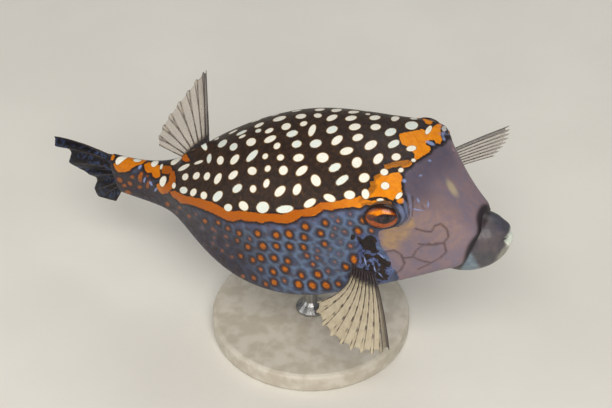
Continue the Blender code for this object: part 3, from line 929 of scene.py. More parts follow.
@dataclass(frozen=True)
class Mark:
    """An elliptical mark lying on the body."""

    centre: Array
    along: Array  # half axes, in millimetres
    across: Array
    tone: float = 1.0

    def field(self, points: Array) -> Array:
        """About how far in millimetres points lie inside its edge, negative outside."""
        long, short = np.linalg.norm(self.along), np.linalg.norm(self.across)
        normal = unit(np.cross(self.along, self.across))
        basis = np.linalg.inv(np.stack([self.along, self.across, normal * (long + short)], 1))
        reach = np.linalg.norm((points - self.centre) @ basis.T, axis=-1)
        return (1 - reach) * (long * short) ** 0.5

    def mirrored(self) -> "Mark":
        """The same mark on the fish's other side."""
        return Mark(BODY.across(self.centre), self.along * FLIP, self.across * FLIP, self.tone)


class PictureReader:
    """Lays marks that are given in the photograph on the body."""

    most_half_mm = 3.2
    seen_mm = 0.9
    seen_facing = 0.02
    zone_facing = (-0.25, -0.05)  # turned away from the camera, where zones fade out
    zone_hidden_mm = -6.0

    def __init__(self, points: Array, normals: Array) -> None:
        """Keeps the body's points, and apart those that the camera sees.

        Args:
            points: of the body, as (count, 3).
            normals: outward, one for each point.
        """
        self.every, self.turned = points, normals
        seen = normals @ CAMERA.axes()[2] > self.seen_facing
        self.points, self.normals = points[seen], normals[seen]
        self.pixels = CAMERA.project(self.points)

    def at(self, px: float, py: float) -> tuple[Array, Array]:
        """The body's point and normal seen at a pixel."""
        near = int(np.argmin(((self.pixels - (px, py)) ** 2).sum(-1)))
        return self.points[near], self.normals[near]

    def path(self, pixels: Outline) -> Array:
        """The body's points seen at several pixels."""
        return np.array([self.at(*pixel)[0] for pixel in pixels])

    def mark(self, px: float, py: float, long: float, short: float, tilt_deg: float = 0.0,
             tone: float = 1.0) -> Mark:
        """A mark from its ellipse in the picture.

        Args:
            px, py: its centre.
            long, short: its whole length and width in pixels.
            tilt_deg: of its length, counted from the right towards the top.
            tone: passed on to the mark.

        Returns:
            The mark on the body.
        """
        centre, normal = self.at(px, py)
        tilt = math.radians(tilt_deg)
        seen_at = CAMERA.project(centre)
        middle = CAMERA.onto_plane(*seen_at, centre, normal)
        halves = []
        for length, angle in ((long, tilt), (short, tilt + math.pi / 2)):
            step = np.array([math.cos(angle), -math.sin(angle)]) * length / 2
            halves.append(CAMERA.onto_plane(*(seen_at + step), centre, normal) - middle)
        turned, sizes, _ = np.linalg.svd(np.stack(halves, 1), full_matrices=False)
        most = max(self.most_half_mm, long / 2 / CAMERA.pixels_per_mm)
        along, across = turned.T * np.minimum(sizes, most)[:, None]
        return Mark(centre, along, across, tone)

    def both_sides(self, marks: list[Mark], apart: float) -> list[Mark]:
        """The marks with those of their mirror images that the photograph doesn't show.

        Args:
            marks: as seen in the photograph.
            apart: the least distance between a mirrored mark and any other, in millimetres.

        Returns:
            All the marks.
        """
        places = np.array([mark.centre for mark in marks])
        made = list(marks)
        for mark in (mark.mirrored() for mark in marks):
            hidden = np.linalg.norm(self.points - mark.centre, axis=1).min() > self.seen_mm
            if hidden and np.linalg.norm(places - mark.centre, axis=1).min() > apart:
                made.append(mark)
        return made

    def zones(self, outlines: tuple[Outline, ...], hidden: float | Array = zone_hidden_mm,
              ) -> Array:
        """How far in millimetres the body's points lie inside areas drawn in the photograph.

        Points that it doesn't show are measured at their mirror image.

        Args:
            outlines: the corners of each area in the photograph.
            hidden: the distance for points that are out of its sight on both sides.

        Returns:
            The distance to the nearest area's edge, negative outside.
        """
        back = CAMERA.axes()[2]
        own, other = (smooth(*self.zone_facing, normals @ back)
                      for normals in (self.turned, self.turned * FLIP))
        here, there = (
            np.max([polygon_depth(outline, CAMERA.project(points)) for outline in outlines],
                   axis=0) / CAMERA.pixels_per_mm
            for points in (self.every, BODY.across(self.every)))
        return here * own + (there * other + hidden * (1 - other)) * (1 - own)


def segment_distance(points: Array, start: Array, end: Array) -> Array:
    """Distance from points to a straight piece of a line."""
    step = end - start
    share = np.clip((points - start) @ step / max(step @ step, TINY), 0, 1)
    return np.linalg.norm(points - start - share[:, None] * step, axis=1)


def path_distance(path: Array, points: Array) -> Array:
    """Distance from points to a path of straight pieces."""
    return np.min([segment_distance(points, *ends) for ends in zip(path, path[1:])], axis=0)


def line_distance(path: Array, points: Array) -> Array:
    """Distance from points to a path or to its mirror image, whichever is nearer."""
    return np.minimum(path_distance(path, points), path_distance(path * FLIP, points))


def polygon_depth(outline: Outline, pixels: Array) -> Array:
    """How far pixels lie inside a polygon, negative outside it."""
    corners = np.array(outline, float)
    inside = np.zeros(len(pixels), bool)
    away = np.full(len(pixels), np.inf)
    x, y = pixels.T
    for start, end in zip(corners, np.roll(corners, -1, axis=0)):
        away = np.minimum(away, segment_distance(pixels, start, end))
        (x0, y0), (x1, y1) = start, end
        crosses = (y0 > y) != (y1 > y)
        inside ^= crosses & (x < x0 + (y - y0) * (x1 - x0) / (y1 - y0 + TINY))
    return np.where(inside, away, -away)


def marks_field(marks: list[Mark], points: Array, outside: float = 6.0,
                ) -> tuple[Array, Array]:
    """The union of marks.

    Args:
        marks: to join.
        points: where to measure, as (count, 3).
        outside: the farthest outside an edge that is measured.

    Returns:
        How far each point lies inside a mark, and the tone of its nearest mark.
    """
    best, tone = np.full(len(points), -outside), np.zeros(len(points))
    for mark in marks:
        reach = max(np.linalg.norm(mark.along), np.linalg.norm(mark.across)) + outside
        near = np.flatnonzero(np.abs(points - mark.centre).max(1) < reach)
        inside = mark.field(points[near])
        better = inside > best[near]
        best[near[better]] = inside[better]
        tone[near[better]] = mark.tone
    return best, tone


# the hide's markings, each read off the photograph


@dataclass(frozen=True)
class Markings:
    """Places of the markings in the 612 x 408 photograph, in its pixels.

    A spot is x, y, length, width and tilt in degrees. A flank spot is x, y, length and how
    strong it is. The sutures and bands are paths.
    """

    # cream spots of the back, row by row from the orange band up to the crown
    back_spots: Rows = (
        (183.7, 190.1, 8, 7, 0), (193, 192, 8.6, 6, 60), (203.8, 194.9, 8, 6.8, 90),
        (218, 195.8, 13, 7.5, 48), (228.5, 207.5, 8.3, 7.6, 0), (244.1, 205.9, 11, 8.5, -45),
        (262.5, 207, 13, 11.5, 20), (285, 209.9, 17.5, 7.5, 8), (309.2, 202.7, 14, 7.5, 32),
        (329.3, 197.4, 13, 7.5, -22), (349.5, 194.6, 11.5, 9, 0), (366.2, 193.7, 10.5, 8, -80),
        (380, 200.7, 8, 3.5, 0), (398.6, 195.8, 9.5, 5, 45), (237.4, 188.7, 11.5, 7, 40),
        (253.2, 188.3, 8, 6.8, 80), (267.1, 184.2, 9.8, 6, 68), (280.2, 190.7, 14, 8, 45),
        (297.4, 190.4, 12.5, 8, 65), (184.7, 176.7, 7.6, 6, 60), (196.6, 175.6, 8.6, 6, 50),
        (207.3, 176.1, 8.8, 6, 65), (218.3, 178, 12.5, 6.2, 62), (233.1, 175.4, 12, 6.5, 42),
        (251.8, 171.1, 9.4, 8.4, 0), (267.1, 168.9, 7.4, 5.8, 50), (283, 171.1, 9.8, 9, 60),
        (301.2, 171.4, 14.5, 7.5, 38), (316.2, 180.7, 12.8, 9.5, -62), (341.4, 179.4, 15, 7, 36),
        (364.1, 177.8, 11.3, 9.5, 20), (385.4, 186.5, 9, 8.2, 0), (209.7, 158.5, 10, 4.4, 80),
        (219.9, 160.1, 9, 6.8, 75), (234.2, 158.8, 12.5, 6.5, 50), (251.5, 156.1, 16, 6, 45),
        (264.7, 156.6, 6.8, 5.4, 45), (280.5, 156.9, 7.8, 6.4, 20), (299.1, 156.9, 11.4, 7.6, 15),
        (321.9, 157.3, 12.5, 10, 5), (334.4, 167.6, 13.5, 7.5, 28), (356.4, 162.9, 11.3, 10, 60),
        (377.5, 158.9, 12.5, 8.3, 50), (383.9, 171.7, 8.3, 7, 0), (400.8, 169.7, 6, 4.8, 20),
        (396.7, 156.7, 9.6, 7.4, 8), (413.3, 159.6, 5.4, 3.8, 0), (222.3, 143.7, 11, 5.5, 38),
        (233.3, 146.6, 8.8, 6.6, 42), (250.5, 142.1, 10.4, 7.6, 25), (270.1, 139.4, 13.5, 6, 25),
        (277.6, 146.3, 8, 6, 40), (296.3, 144.3, 10.4, 7, 15), (316, 143.4, 12, 8, 15),
        (337.7, 140.5, 13.5, 7.5, 38), (345.8, 151.5, 14, 7.5, 15), (371.4, 144.8, 14, 8, 30),
        (358.6, 137.5, 11.5, 7, 18), (393.7, 144, 12.7, 6.7, 28), (411.9, 148.7, 10.7, 5.8, 10),
        (241.6, 132.5, 12, 2.8, 25), (242.4, 136.2, 8, 2.6, 25), (259.4, 124.6, 10.5, 3.4, 25),
        (258.3, 131, 6.4, 3.6, 20), (269, 130.3, 9.6, 4.4, 25), (285.9, 126.6, 10, 6.6, 20),
        (292.4, 134.3, 12, 6, 15), (303.1, 123.8, 8, 4.8, 20), (312.7, 129.8, 13, 6.5, 66),
        (332.3, 129.2, 12, 7, 20), (355.1, 126.3, 12.3, 6.7, 10), (375.6, 127, 10.7, 6.4, 5),
        (390.6, 132.1, 12, 7.4, 20), (411.6, 125.8, 13.4, 8.7, 6), (428.7, 129.8, 12.5, 5, 56),
        (443.2, 130.1, 5.4, 3.6, -60), (279.4, 119, 14, 4.2, 16), (301.2, 116.4, 11, 4.8, 8),
        (318, 115.8, 8.3, 4.5, 0), (332, 117.9, 12, 5.4, 22), (350.5, 118, 12, 5, 10),
        (374.9, 117.8, 11.4, 4.7, 5), (395.3, 118.6, 9.6, 5.4, 20), (319.7, 109.7, 10.4, 2.4, 5),
        (336.3, 110.4, 11, 3.2, 5), (353.5, 111.7, 11.4, 2.8, 3), (367.8, 114.3, 5.4, 1.8, 0),
        (413.7, 119.2, 8, 1.6, -5), (206.3, 147.4, 7.5, 4.8, 75), (216.4, 138.9, 5.6, 2.4, 30),
        (183.7, 167.6, 15, 4.2, 28), (176.5, 160.4, 14.5, 4.6, 35), (194.1, 152.5, 11, 3, 18),
        (200.4, 143.6, 7, 2, 80), (198.9, 162, 10, 3, 20), (173.8, 185.2, 6.4, 4, 80),
    )
    # cream spots on the orange of the tail stalk
    stalk_spots: Rows = (
        (163.1, 181.5, 11.5, 6.4, 72), (120.9, 159, 15, 5.6, 32), (137.5, 160.4, 8.6, 3, 0),
        (154.5, 162.8, 8.6, 5.4, 32), (161.4, 166.5, 6.6, 2.4, 70),
    )
    # orange spots of the flank, ringed dark, row by row down from the band
    flank_spots: Rows = (
        (167.4, 204, 4.6, .9), (179.7, 207.5, 3.8, .8), (176.2, 212.3, 3, .6),
        (189.3, 216.3, 4.2, .7), (195.7, 214.3, 3, .6), (204.9, 221, 4.8, .9), (218, 223, 4.4, .9),
        (227.9, 227.9, 4.2, .8), (239, 233.8, 4.6, .9), (249.6, 238.6, 3.4, .6),
        (257.5, 233.5, 5.4, 1), (276.2, 234.6, 6, 1), (289.3, 233.8, 6.6, 1),
        (305.2, 226.9, 6.2, 1), (304.6, 237, 5, .9), (325.1, 223.1, 5, .9), (338.7, 220.9, 4, .55),
        (332, 216.7, 2.8, .4), (345.5, 231.4, 3.2, .5), (321.1, 233.5, 5.2, .9),
        (335.7, 228.2, 3.4, .5), (202, 227.4, 3, .4), (212.1, 229, 3.6, .6), (215.6, 231, 3.2, .5),
        (226, 236.2, 4, .6), (213.5, 237.8, 3.2, .5), (237.1, 241, 4, .8), (248.6, 247, 5.2, .9),
        (262.6, 245.7, 6.4, 1), (276.2, 246.5, 5, .9), (290.1, 247, 5.2, .9),
        (303.6, 246.9, 4.8, .9), (324.5, 244.2, 5, .8), (317.2, 250.9, 3.4, .5),
        (333.1, 235.9, 3.4, .5), (212.4, 243, 3.8, .5), (222, 249.7, 4, .6), (226.4, 245, 3.4, .5),
        (240.3, 255.8, 4.8, .9), (232.7, 256.9, 3.6, .6), (253.1, 260.6, 4.8, .9),
        (261.5, 257.7, 6, 1), (274.6, 257.7, 5.4, .9), (288.1, 260.4, 5, .9),
        (307, 255.8, 4.4, .7), (317.2, 258.2, 3.6, .6), (312.5, 265.2, 4, .7),
        (329.6, 249.7, 2.8, .4), (338, 253, 2.6, .3), (340, 243, 2.8, .35), (334, 263, 2.8, .4),
        (261.4, 269.2, 4.2, .7), (274.1, 271.7, 5.2, .9), (285.4, 270, 6.4, 1),
        (302, 276.4, 5.2, .9), (318, 275.2, 6.2, 1), (327.2, 271.6, 3.6, .6),
        (346.8, 267.3, 5.6, 1), (353.7, 257.6, 6, 1), (359.2, 270.7, 6.4, 1),
        (352.5, 276.1, 4.4, .9), (242.4, 276.5, 4.4, .7), (253.4, 278, 4.8, .8),
        (265.8, 284, 4.6, .8), (274.6, 282.7, 6, .9), (285, 280.8, 4.2, .6),
        (298.2, 285.3, 6.8, 1), (312, 285.3, 6.8, 1), (326.1, 285.3, 7.2, 1),
        (338.7, 283.8, 4.6, .8), (362.9, 220.5, 4.6, .9), (358.8, 231.2, 6, 1),
        (370.8, 230.3, 4.2, .7), (349.7, 245.9, 4, .6), (350.1, 214.2, 3, .5),
        (349.7, 223.6, 3.4, .5),
    )
    flank_tilt_deg: float = -50.0
    flank_long: float = 1.14  # length over mean size of a flank spot
    # upright spots of the tail stalk: x, y, length, width, tilt
    stalk_dots: Rows = (
        (140.1, 177.9, 12, 4.6, 85), (147.4, 185.1, 9, 3.2, 80), (119.5, 179.7, 7, 5, -50),
        (128, 192.4, 7, 4.6, -20), (129.8, 183.3, 6, 4, -45), (139.5, 187, 5, 4, 0),
        (107, 165, 4, 4, 0), (147, 175, 5, 4, 60), (132, 177, 5, 4, 0), (124, 186, 5, 4, 0),
    )
    # the orange band along the ridge, and the thin stripe that it runs out in over the eye
    band: Outline = (
        (174.9, 192.3), (189.3, 199.5), (202, 203.5), (214.8, 208.3), (226, 215.2), (238.7, 215.5),
        (251.5, 216.6), (264.2, 218.6), (278.6, 219.4), (291.3, 217), (304.1, 212.3),
        (315.2, 208.3), (326.4, 205.1), (339.2, 203.5), (346.8, 201.1), (362, 200.6),
    )
    band_half_mm: float = 0.4
    brow_stripe: Outline = ((364, 202), (372, 202.8), (381, 203), (389.5, 204.6))
    stripe_half_mm: float = 0.62
    # areas of orange: the band's ragged outline, the forehead, its far patches, over the eye,
    # the loop round the carapace's end, the tail stalk and by the dorsal fin
    ochre_zones: tuple[Outline, ...] = (
        ((176, 194), (189, 197), (200, 199), (211, 202), (219, 206), (226, 210), (233, 212),
         (240, 211), (248, 212), (256, 213), (259, 214), (268, 214), (275, 214), (282, 215),
         (286, 214), (292, 211), (298, 210), (306, 209), (314, 207), (320, 203), (331, 202),
         (338, 201), (346, 199), (355, 198), (360, 196), (366, 199), (366, 204), (360, 208),
         (352, 207), (341, 208), (332, 210), (324, 209), (320, 212), (316, 215), (308, 216),
         (301, 216), (294, 221), (288, 223), (279, 223), (272, 221), (268, 221), (264, 222),
         (262, 223), (256, 221), (246, 221), (240, 219), (233, 221), (227, 220), (219, 216),
         (211, 212), (201, 208), (190, 204), (181, 203), (177, 199)),
        ((399, 134), (406, 132), (419, 130), (422, 129), (429, 132), (434, 126), (438, 125),
         (441, 126), (440, 130), (441, 136), (442, 140), (440, 144), (436, 143), (434, 140),
         (430, 140), (426, 143), (426, 145), (430, 146), (431, 149), (429, 152), (426, 154),
         (420, 158), (416, 160), (414, 158), (415, 154), (407, 146), (402, 144), (400, 140)),
        ((422, 120), (427, 120), (432, 123), (430, 125), (426, 124)),
        ((446, 128), (450, 130), (453, 137), (452, 138), (447, 134)),
        ((384, 165), (392, 163), (400, 161), (408, 160), (412, 163), (410, 166), (404, 168),
         (400, 166), (395, 167), (390, 168), (386, 170)),
        ((374, 176), (380, 174), (387, 176), (392, 173), (399, 172), (402, 177), (401, 184),
         (402, 192), (397, 196), (393, 201), (387, 198), (380, 197), (374, 197), (367, 199),
         (361, 199), (366, 194), (371, 186), (370, 182), (375, 181)),
        ((397, 199), (403, 199), (404, 201), (402, 204), (398, 204), (396, 202)),
        ((157, 187), (159, 191), (162, 194), (167, 193), (172, 188), (175, 182), (175, 176),
         (174, 171), (170, 171), (170, 176), (169, 181), (166, 185), (162, 188), (160, 186),
         (159, 183), (157, 184)),
        ((170, 192), (175, 191), (180, 194), (178, 200), (173, 197)),
        ((114, 164), (118, 163), (123, 160), (127, 156), (132, 156), (134, 159), (141, 160),
         (147, 158), (147, 160), (142, 164), (137, 165), (132, 168), (129, 171), (124, 172),
         (118, 172), (115, 169)),
        ((144, 164), (150, 162), (152, 165), (158, 165), (160, 166), (160, 172), (160, 176),
         (156, 178), (153, 177), (152, 172), (148, 173), (145, 170)),
        ((107, 155), (113, 154), (115, 156), (113, 160), (109, 160), (107, 158)),
        ((182, 160), (184, 157), (189, 158), (190, 161), (186, 162)),
        ((192, 145), (195, 144), (196, 148), (193, 150), (191, 148)),
        ((162, 166), (170, 166), (172, 170), (168, 174), (162, 173)),
    )
    # the mauve face, drawn on past the fish's outline on its right
    face_zone: Outline = (
        (451, 138), (447, 140), (445, 144), (442, 145), (439, 144), (436, 148), (432, 149),
        (430, 153), (422, 157), (416, 161), (412, 165), (408, 169), (404, 173), (402, 178),
        (403, 184), (402, 192), (406, 197), (404, 203), (407, 212), (405, 219), (398, 226),
        (390, 229), (379, 231), (378, 235), (380, 241), (382, 248), (387, 253), (390, 259),
        (391, 266), (396, 271), (399, 278), (396, 300), (600, 300), (600, 60), (452, 60),
    )
    # where the orange is dimmed by brown
    dim_zones: tuple[Outline, ...] = (
        ((382, 163), (392, 160), (401, 158), (412, 160), (410, 165), (402, 168), (393, 168),
         (384, 172)),
        ((366, 190), (370, 180), (373, 174), (380, 173), (382, 177), (376, 181), (378, 188),
         (373, 194), (368, 200), (358, 203), (360, 196)),
        ((360, 203), (372, 201), (374, 204), (362, 208)),
        ((160, 164), (170, 164), (172, 170), (168, 175), (160, 174)),
    )
    # the pinker middle of the face
    blush_zone: Outline = (
        (408, 205), (420, 193), (440, 196), (458, 212), (464, 236), (452, 248), (438, 240),
        (418, 232), (404, 224),
    )
    gill_zone: Outline = (
        (352, 233), (362, 233), (375, 234), (380, 240), (380, 250), (388, 256), (392, 265),
        (396, 273), (388, 284), (360, 288), (352, 276), (357, 262), (357, 248),
    )
    # black-brown areas round the gill opening and over the pectoral fin's root
    smoke_zones: tuple[Outline, ...] = (
        ((360, 240), (366, 236), (371, 235), (375, 237), (376, 245), (377, 250), (378, 253),
         (374, 253), (371, 251), (367, 250), (362, 247), (359, 244)),
        ((363, 255), (368, 253), (372, 257), (368, 259), (364, 258)),
        ((351, 234), (355, 234), (356, 237), (352, 241), (350, 238)),
        ((378, 257), (384, 258), (391, 263), (390, 268), (384, 267), (378, 262)),
        ((370, 262), (376, 263), (376, 270), (372, 276), (370, 271)),
        ((363, 263), (366, 263), (367, 275), (364, 284), (361, 278), (362, 270)),
        ((375, 271), (380, 270), (386, 276), (384, 281), (377, 279)),
        ((355, 279), (360, 277), (366, 284), (376, 283), (380, 286), (356, 289), (350, 286)),
    )
    pale_marks: Rows = (
        (430.5, 143.3, 10, 3.4, -22), (404.8, 181, 4, 3.6, 0), (443.4, 132, 3, 9, -12),
        (430, 160.2, 4, 2, 0), (444, 139, 5, 2.4, -60), (417, 209.5, 12, 1.3, -8),
        (427.5, 204, 1.6, 9, 0), (421, 175, 4, 2, 20), (408, 207, 3, 1.3, 60),
        (418, 200, 2, 5, 20), (151, 183.5, 5, 2.4, -60), (140.5, 167, 5, 2.6, 50),
        (144.5, 180, 6, 1.8, 75), (155.5, 190, 5, 2, 60), (366, 258.5, 1.3, 8, 20),
        (374.5, 268, 1.2, 9, 12), (382, 257, 8, 1.4, -40), (369, 277, 1.2, 9, 0),
        (380.5, 274, 7, 1.4, -50),
    )
    tan_patches: Rows = (
        (396, 233, 26, 18, 15), (406, 226, 18, 8, 20), (390, 243, 16, 10, -20),
    )
    straw_patches: Rows = ((452, 188.5, 17, 6, -58),)
    sutures: tuple[Outline, ...] = (
        ((416, 228), (425, 231), (431, 232), (435, 226), (440, 224), (446, 229), (448, 237),
         (444, 242), (435, 244), (429, 245), (418, 244)),
        ((435, 243), (444, 243), (446, 251), (440, 258), (431, 262), (420, 260), (412, 256),
         (416, 250), (422, 246), (429, 244)),
        ((386, 252), (395, 250), (402, 255), (404, 263), (400, 270), (392, 275)),
        ((404, 257), (412, 256)),
        ((418, 269), (431, 262)),
    )


MARKINGS = Markings()


@dataclass(frozen=True)
class SkinSizes:
    """Sizes of the skin and of what is drawn in it, in millimetres.

    Pairs named for a place are where it comes in and where it is whole, in x or ring number.
    """

    tail_end: float = -74.6
    head_end: float = 62.0
    fine_from: float = 27.0
    fine_to: float = 58.5
    coarse_step: float = 0.50
    fine_step: float = 0.36
    nose_rows: int = 9
    eye_rings: Point = (1.5, 4.0)
    eye_columns: int = 56
    crown_columns: int = 36
    belly_columns: int = 62
    girth_steps: int = 161
    # x of the face's edge at places round the ring
    face_edge: Outline = (
        (0.0, 40.6), (0.5, 39.6), (0.9, 39.1), (1.4, 38.8), (2.0, 38.6), (2.5, 39.6),
        (3.2, 38.8), (3.6, 34.5), (3.8, 30.8), (4.3, 30.6), (4.7, 32.0), (5.1, 34.4),
        (6.0, 36.0), (8.0, 36.0),
    )
    muzzle_point: Triple = (57.4, 0.0, -4.5)
    muzzle_normal: Triple = (0.85, 0.0, -0.53)
    muzzle_turn: Point = (-1.2, 1.6)
    muzzle_flat: float = 0.9  # the farthest past the plane
    muzzle_in: float = 0.12  # how much narrower it gets, as a share
    muzzle_centre: Triple = (51.6, 0.0, -12.4)
    # the painted shade on the lips where they go in under the skin: where it comes in and where it
    # is whole
    lip_root: Point = (2.0, 0.4)  # where the lips are dark, past the same plane
    tail_round: float = 2.4
    tail_close: float = 0.8
    mound_height: float = 1.5
    mound_width: float = 2.1
    # grooves between plates
    plate_every: float = 7.5
    plates_round: float = 1.25
    plate_stretch: float = 1.1
    plate_groove: float = 0.07
    suture_depth: float = 2.5
    suture_width: float = 0.3
    # spots strewn where the photograph shows none: spacing, sizes and room round them
    seed: int = 11
    tries: int = 9000
    strewn_shape: Point = (1.15, 0.9)  # half axes over the mean half length
    strewn_ahead: float = 0.8
    strewn_tones: Point = (0.35, 0.8)
    back_every: float = 5.9
    back_sizes: Point = (1.25, 1.7)
    back_apart: float = 4.2
    back_room: float = 2.2
    back_facing: float = 0.3
    flank_every: float = 4.3
    flank_sizes: Point = (0.5, 0.85)
    flank_apart: float = 2.6
    flank_room: float = 2.5
    flank_facing: float = 0.02
    flank_slope: float = 0.6
    flank_ring: float = 2.4
    freckle_every: float = 2.9
    freckle_sizes: Point = (0.35, 0.85)
    face_room: float = 3.0
    freckle_room: float = 2.0
    patch_apart: float = 3.0
    # the blue's own tones
    stalk_from: float = -50.5
    band_runs_on: float = 4.0
    cool_spot: Point = (0.15, 0.16)  # inside a spot, and the share of spots
    faint_from: Point = (-1.3, -0.9)
    violet_back: Point = (-7.0, -2.0)
    violet_x: Point = (-42.0, -20.0)
    # painted shade, darker over the rear flanks, the underside and the back towards the tail:
    # strength, then where each comes in and is whole, by x (the second one all along) and by ring
    dusk: Rows = (
        (1.0, 6, -32, 2.0, 3.9), (0.6, 90, 80, 5.2, 6.4), (0.45, -38, -50, 0.8, 1.6),
        (0.9, -46, -51, 1.3, 0.7))
    brow_at: Point = (1.0, 9.0)  # its middle past the face's edge, and its width
    brow_ring: Point = (2.6, 0.8)
    # orange: browner behind, brighter again on the stalk, dimmed in places
    rear_x: Point = (40.0, 5.0)
    rear_stalk_x: Point = (-44.0, -52.0)
    rear_stalk: float = 0.5
    dim_in: Point = (-0.5, 0.9)
    tan_in: Point = (-2.6, 1.8)
    straw_in: Point = (-1.7, 1.5)
    blush_in: Point = (-4.0, 3.0)
    # the painted shade in the crease against the lips: by distance from the lips' bulb, and past
    # the muzzle plane
    crease_in: Point = (2.8, 0.7)
    crease_past: Point = (-4.6, -1.6)
    gill_inset: float = 1.2
    # how far past an edge some paints are still let on
    ochre_past: float = -0.1
    brow_past: float = -0.5
    tan_past: float = -0.3
    edge_under: float = 9.0  # how far under the band the face's dark edge ends

    def past_muzzle(self, points: Array) -> Array:
        """How far points lie past the plane where the lips begin."""
        return (points - np.array(self.muzzle_point)) @ unit(np.array(self.muzzle_normal))


SKIN = SkinSizes()


class Skin:
    """One skin over the head, the carapace and the tail stalk."""

    def __init__(self, sizes: SkinSizes, marks: Markings, roots: list[Array]) -> None:
        """Evaluates the body finely.

        Args:
            sizes: of the skin.
            marks: places of the markings.
            roots: paths along the roots of the fins, each with a mound of flesh on it.
        """
        self.sizes, self.marks, self.roots = sizes, marks, roots
        self.rows, self.rings = self._rows(), self._columns()
        plain = BODY.grid(BODY.station_at(self.rows), self.rings)
        plain[:, :, 0] = self.rows[:, None]
        across = np.roll(plain, -1, axis=1) - np.roll(plain, 1, axis=1)
        normals = unit(np.cross(across, np.gradient(plain, axis=0)))
        self.plain, self.normals = plain.reshape(-1, 3), normals.reshape(-1, 3)
        self.xs = self.plain[:, 0]
        self.half = np.tile(BODY.half_ring(self.rings), len(self.rows))
        self.reader = PictureReader(self.plain, self.normals)
        self.random = np.random.default_rng(sizes.seed)

    def _rows(self) -> Array:
        """The x of each ring of points, closer together over the head."""
        s = self.sizes
        coarse = np.arange(s.tail_end, s.fine_from, s.coarse_step)
        fine = np.arange(s.fine_from, s.fine_to, s.fine_step)
        return np.concatenate([coarse, fine, np.linspace(s.fine_to, s.head_end, s.nose_rows)])

    def _columns(self) -> Array:
        """Places round the rings, closer together at the eyes and alike on both sides."""
        s = self.sizes
        low, high = s.eye_rings
        spans = ((0, low, s.crown_columns), (low, high, s.eye_columns),
                 (high, BODY.belly, s.belly_columns))
        half = np.concatenate([np.linspace(*span, endpoint=False) for span in spans])
        return np.concatenate([half, [BODY.belly], BODY.ring_points - half[:0:-1]])

    def _above(self, band: Array) -> Array:
        """How far over the orange band each point is, measured on the skin."""
        s, here = self.sizes, BODY.half_ring(self.rings)
        rings = self._ring_of(band)
        x_path = np.concatenate([[s.stalk_from - s.band_runs_on], band[:, 0], [s.head_end]])
        ring_path = np.concatenate([[0.0], rings, rings[-1:]])
        order = np.argsort(x_path)
        line = np.interp(self.rows, x_path[order], ring_path[order])
        fine = np.linspace(0, BODY.belly, s.girth_steps)
        half = BODY.grid(BODY.station_at(self.rows), fine)
        steps = np.linalg.norm(np.diff(half, axis=1), axis=-1)
        girth = np.cumsum(np.pad(steps, ((0, 0), (1, 0))), axis=1)
        return np.concatenate([np.interp(at, fine, g) - np.interp(here, fine, g)
                               for at, g in zip(line, girth)])

    def _relief(self) -> Array:
        """How far each point stands off the plain body."""
        s = self.sizes
        lift = np.zeros(len(self.plain))
        for side in Side:
            for feature in (EYE, NOSTRIL, GILL_SLIT):
                lift += feature.relief(side, self.plain)
        for path in self.roots:
            lift += s.mound_height * bell(path_distance(path, self.plain), s.mound_width)
        return lift

    def _shaped(self) -> Array:
        """The points with their relief, rounded in under the lips and at the tail."""
        s = self.sizes
        points = self.plain + self.normals * self._relief()[:, None]
        normal = unit(np.array(s.muzzle_normal))
        past = s.past_muzzle(points)
        off = points - np.array(s.muzzle_centre)
        flat = off - (off @ normal)[:, None] * normal
        points = points - flat * smooth(*s.muzzle_turn, past)[:, None] * s.muzzle_in
        points = points - normal * np.maximum(past - s.muzzle_flat, 0)[:, None]
        points = points.reshape(len(self.rows), -1, 3)
        tail = smooth(s.tail_end + s.tail_round, s.tail_end, self.rows)
        tail = (1 - np.sqrt(np.clip(1 - tail**2, 0, 1)))[:, None, None] * s.tail_close
        points = points + (points.mean(axis=1, keepdims=True) - points) * tail
        return points.reshape(-1, 3)

    def _filled(self, marks: list[Mark], open_here: Array, every: float, sizes: Point,
                slope: float = 0.0) -> list[Mark]:
        """Spots strewn where the photograph doesn't show the body.

        Args:
            marks: the spots that are there.
            open_here: for each point of the skin, whether a spot may lie there.
            every: the least distance between two spots, in millimetres.
            sizes: the smallest and largest mean half length.
            slope: how much their length rises backwards for each step back.

        Returns:
            The new spots.
        """
        s = self.sizes
        places = np.array([mark.centre for mark in marks])
        heading = np.array([s.strewn_ahead, 0, -slope])
        made: list[Mark] = []
        for (index,) in self.random.permutation(np.argwhere(open_here))[: s.tries]:
            point, normal = self.plain[index], self.normals[index]
            if np.linalg.norm(places - point, axis=1).min() < every:
                continue
            places = np.vstack([places, point])
            ahead = unit(heading - normal * (heading @ normal))
            long, wide = self.random.uniform(*sizes) * np.array(s.strewn_shape)
            made.append(Mark(point, ahead * long, np.cross(normal, ahead) * wide,
                             self.random.uniform(*s.strewn_tones)))
        return made

    def _back_spots(self, back: Array, face: Array, facing: Array) -> list[Mark]:
        """The cream spots of the back and of the orange on the stalk."""
        s, places = self.sizes, self.marks.back_spots + self.marks.stalk_spots
        tones = self.random.random(len(places)).tolist()
        spots = [self.reader.mark(*place, tone=tone) for place, tone in zip(places, tones)]
        spots = self.reader.both_sides(spots, s.back_apart)
        room = (facing < s.back_facing) & (back > s.back_room) & (face < -s.face_room)
        return spots + self._filled(spots, room, s.back_every, s.back_sizes)

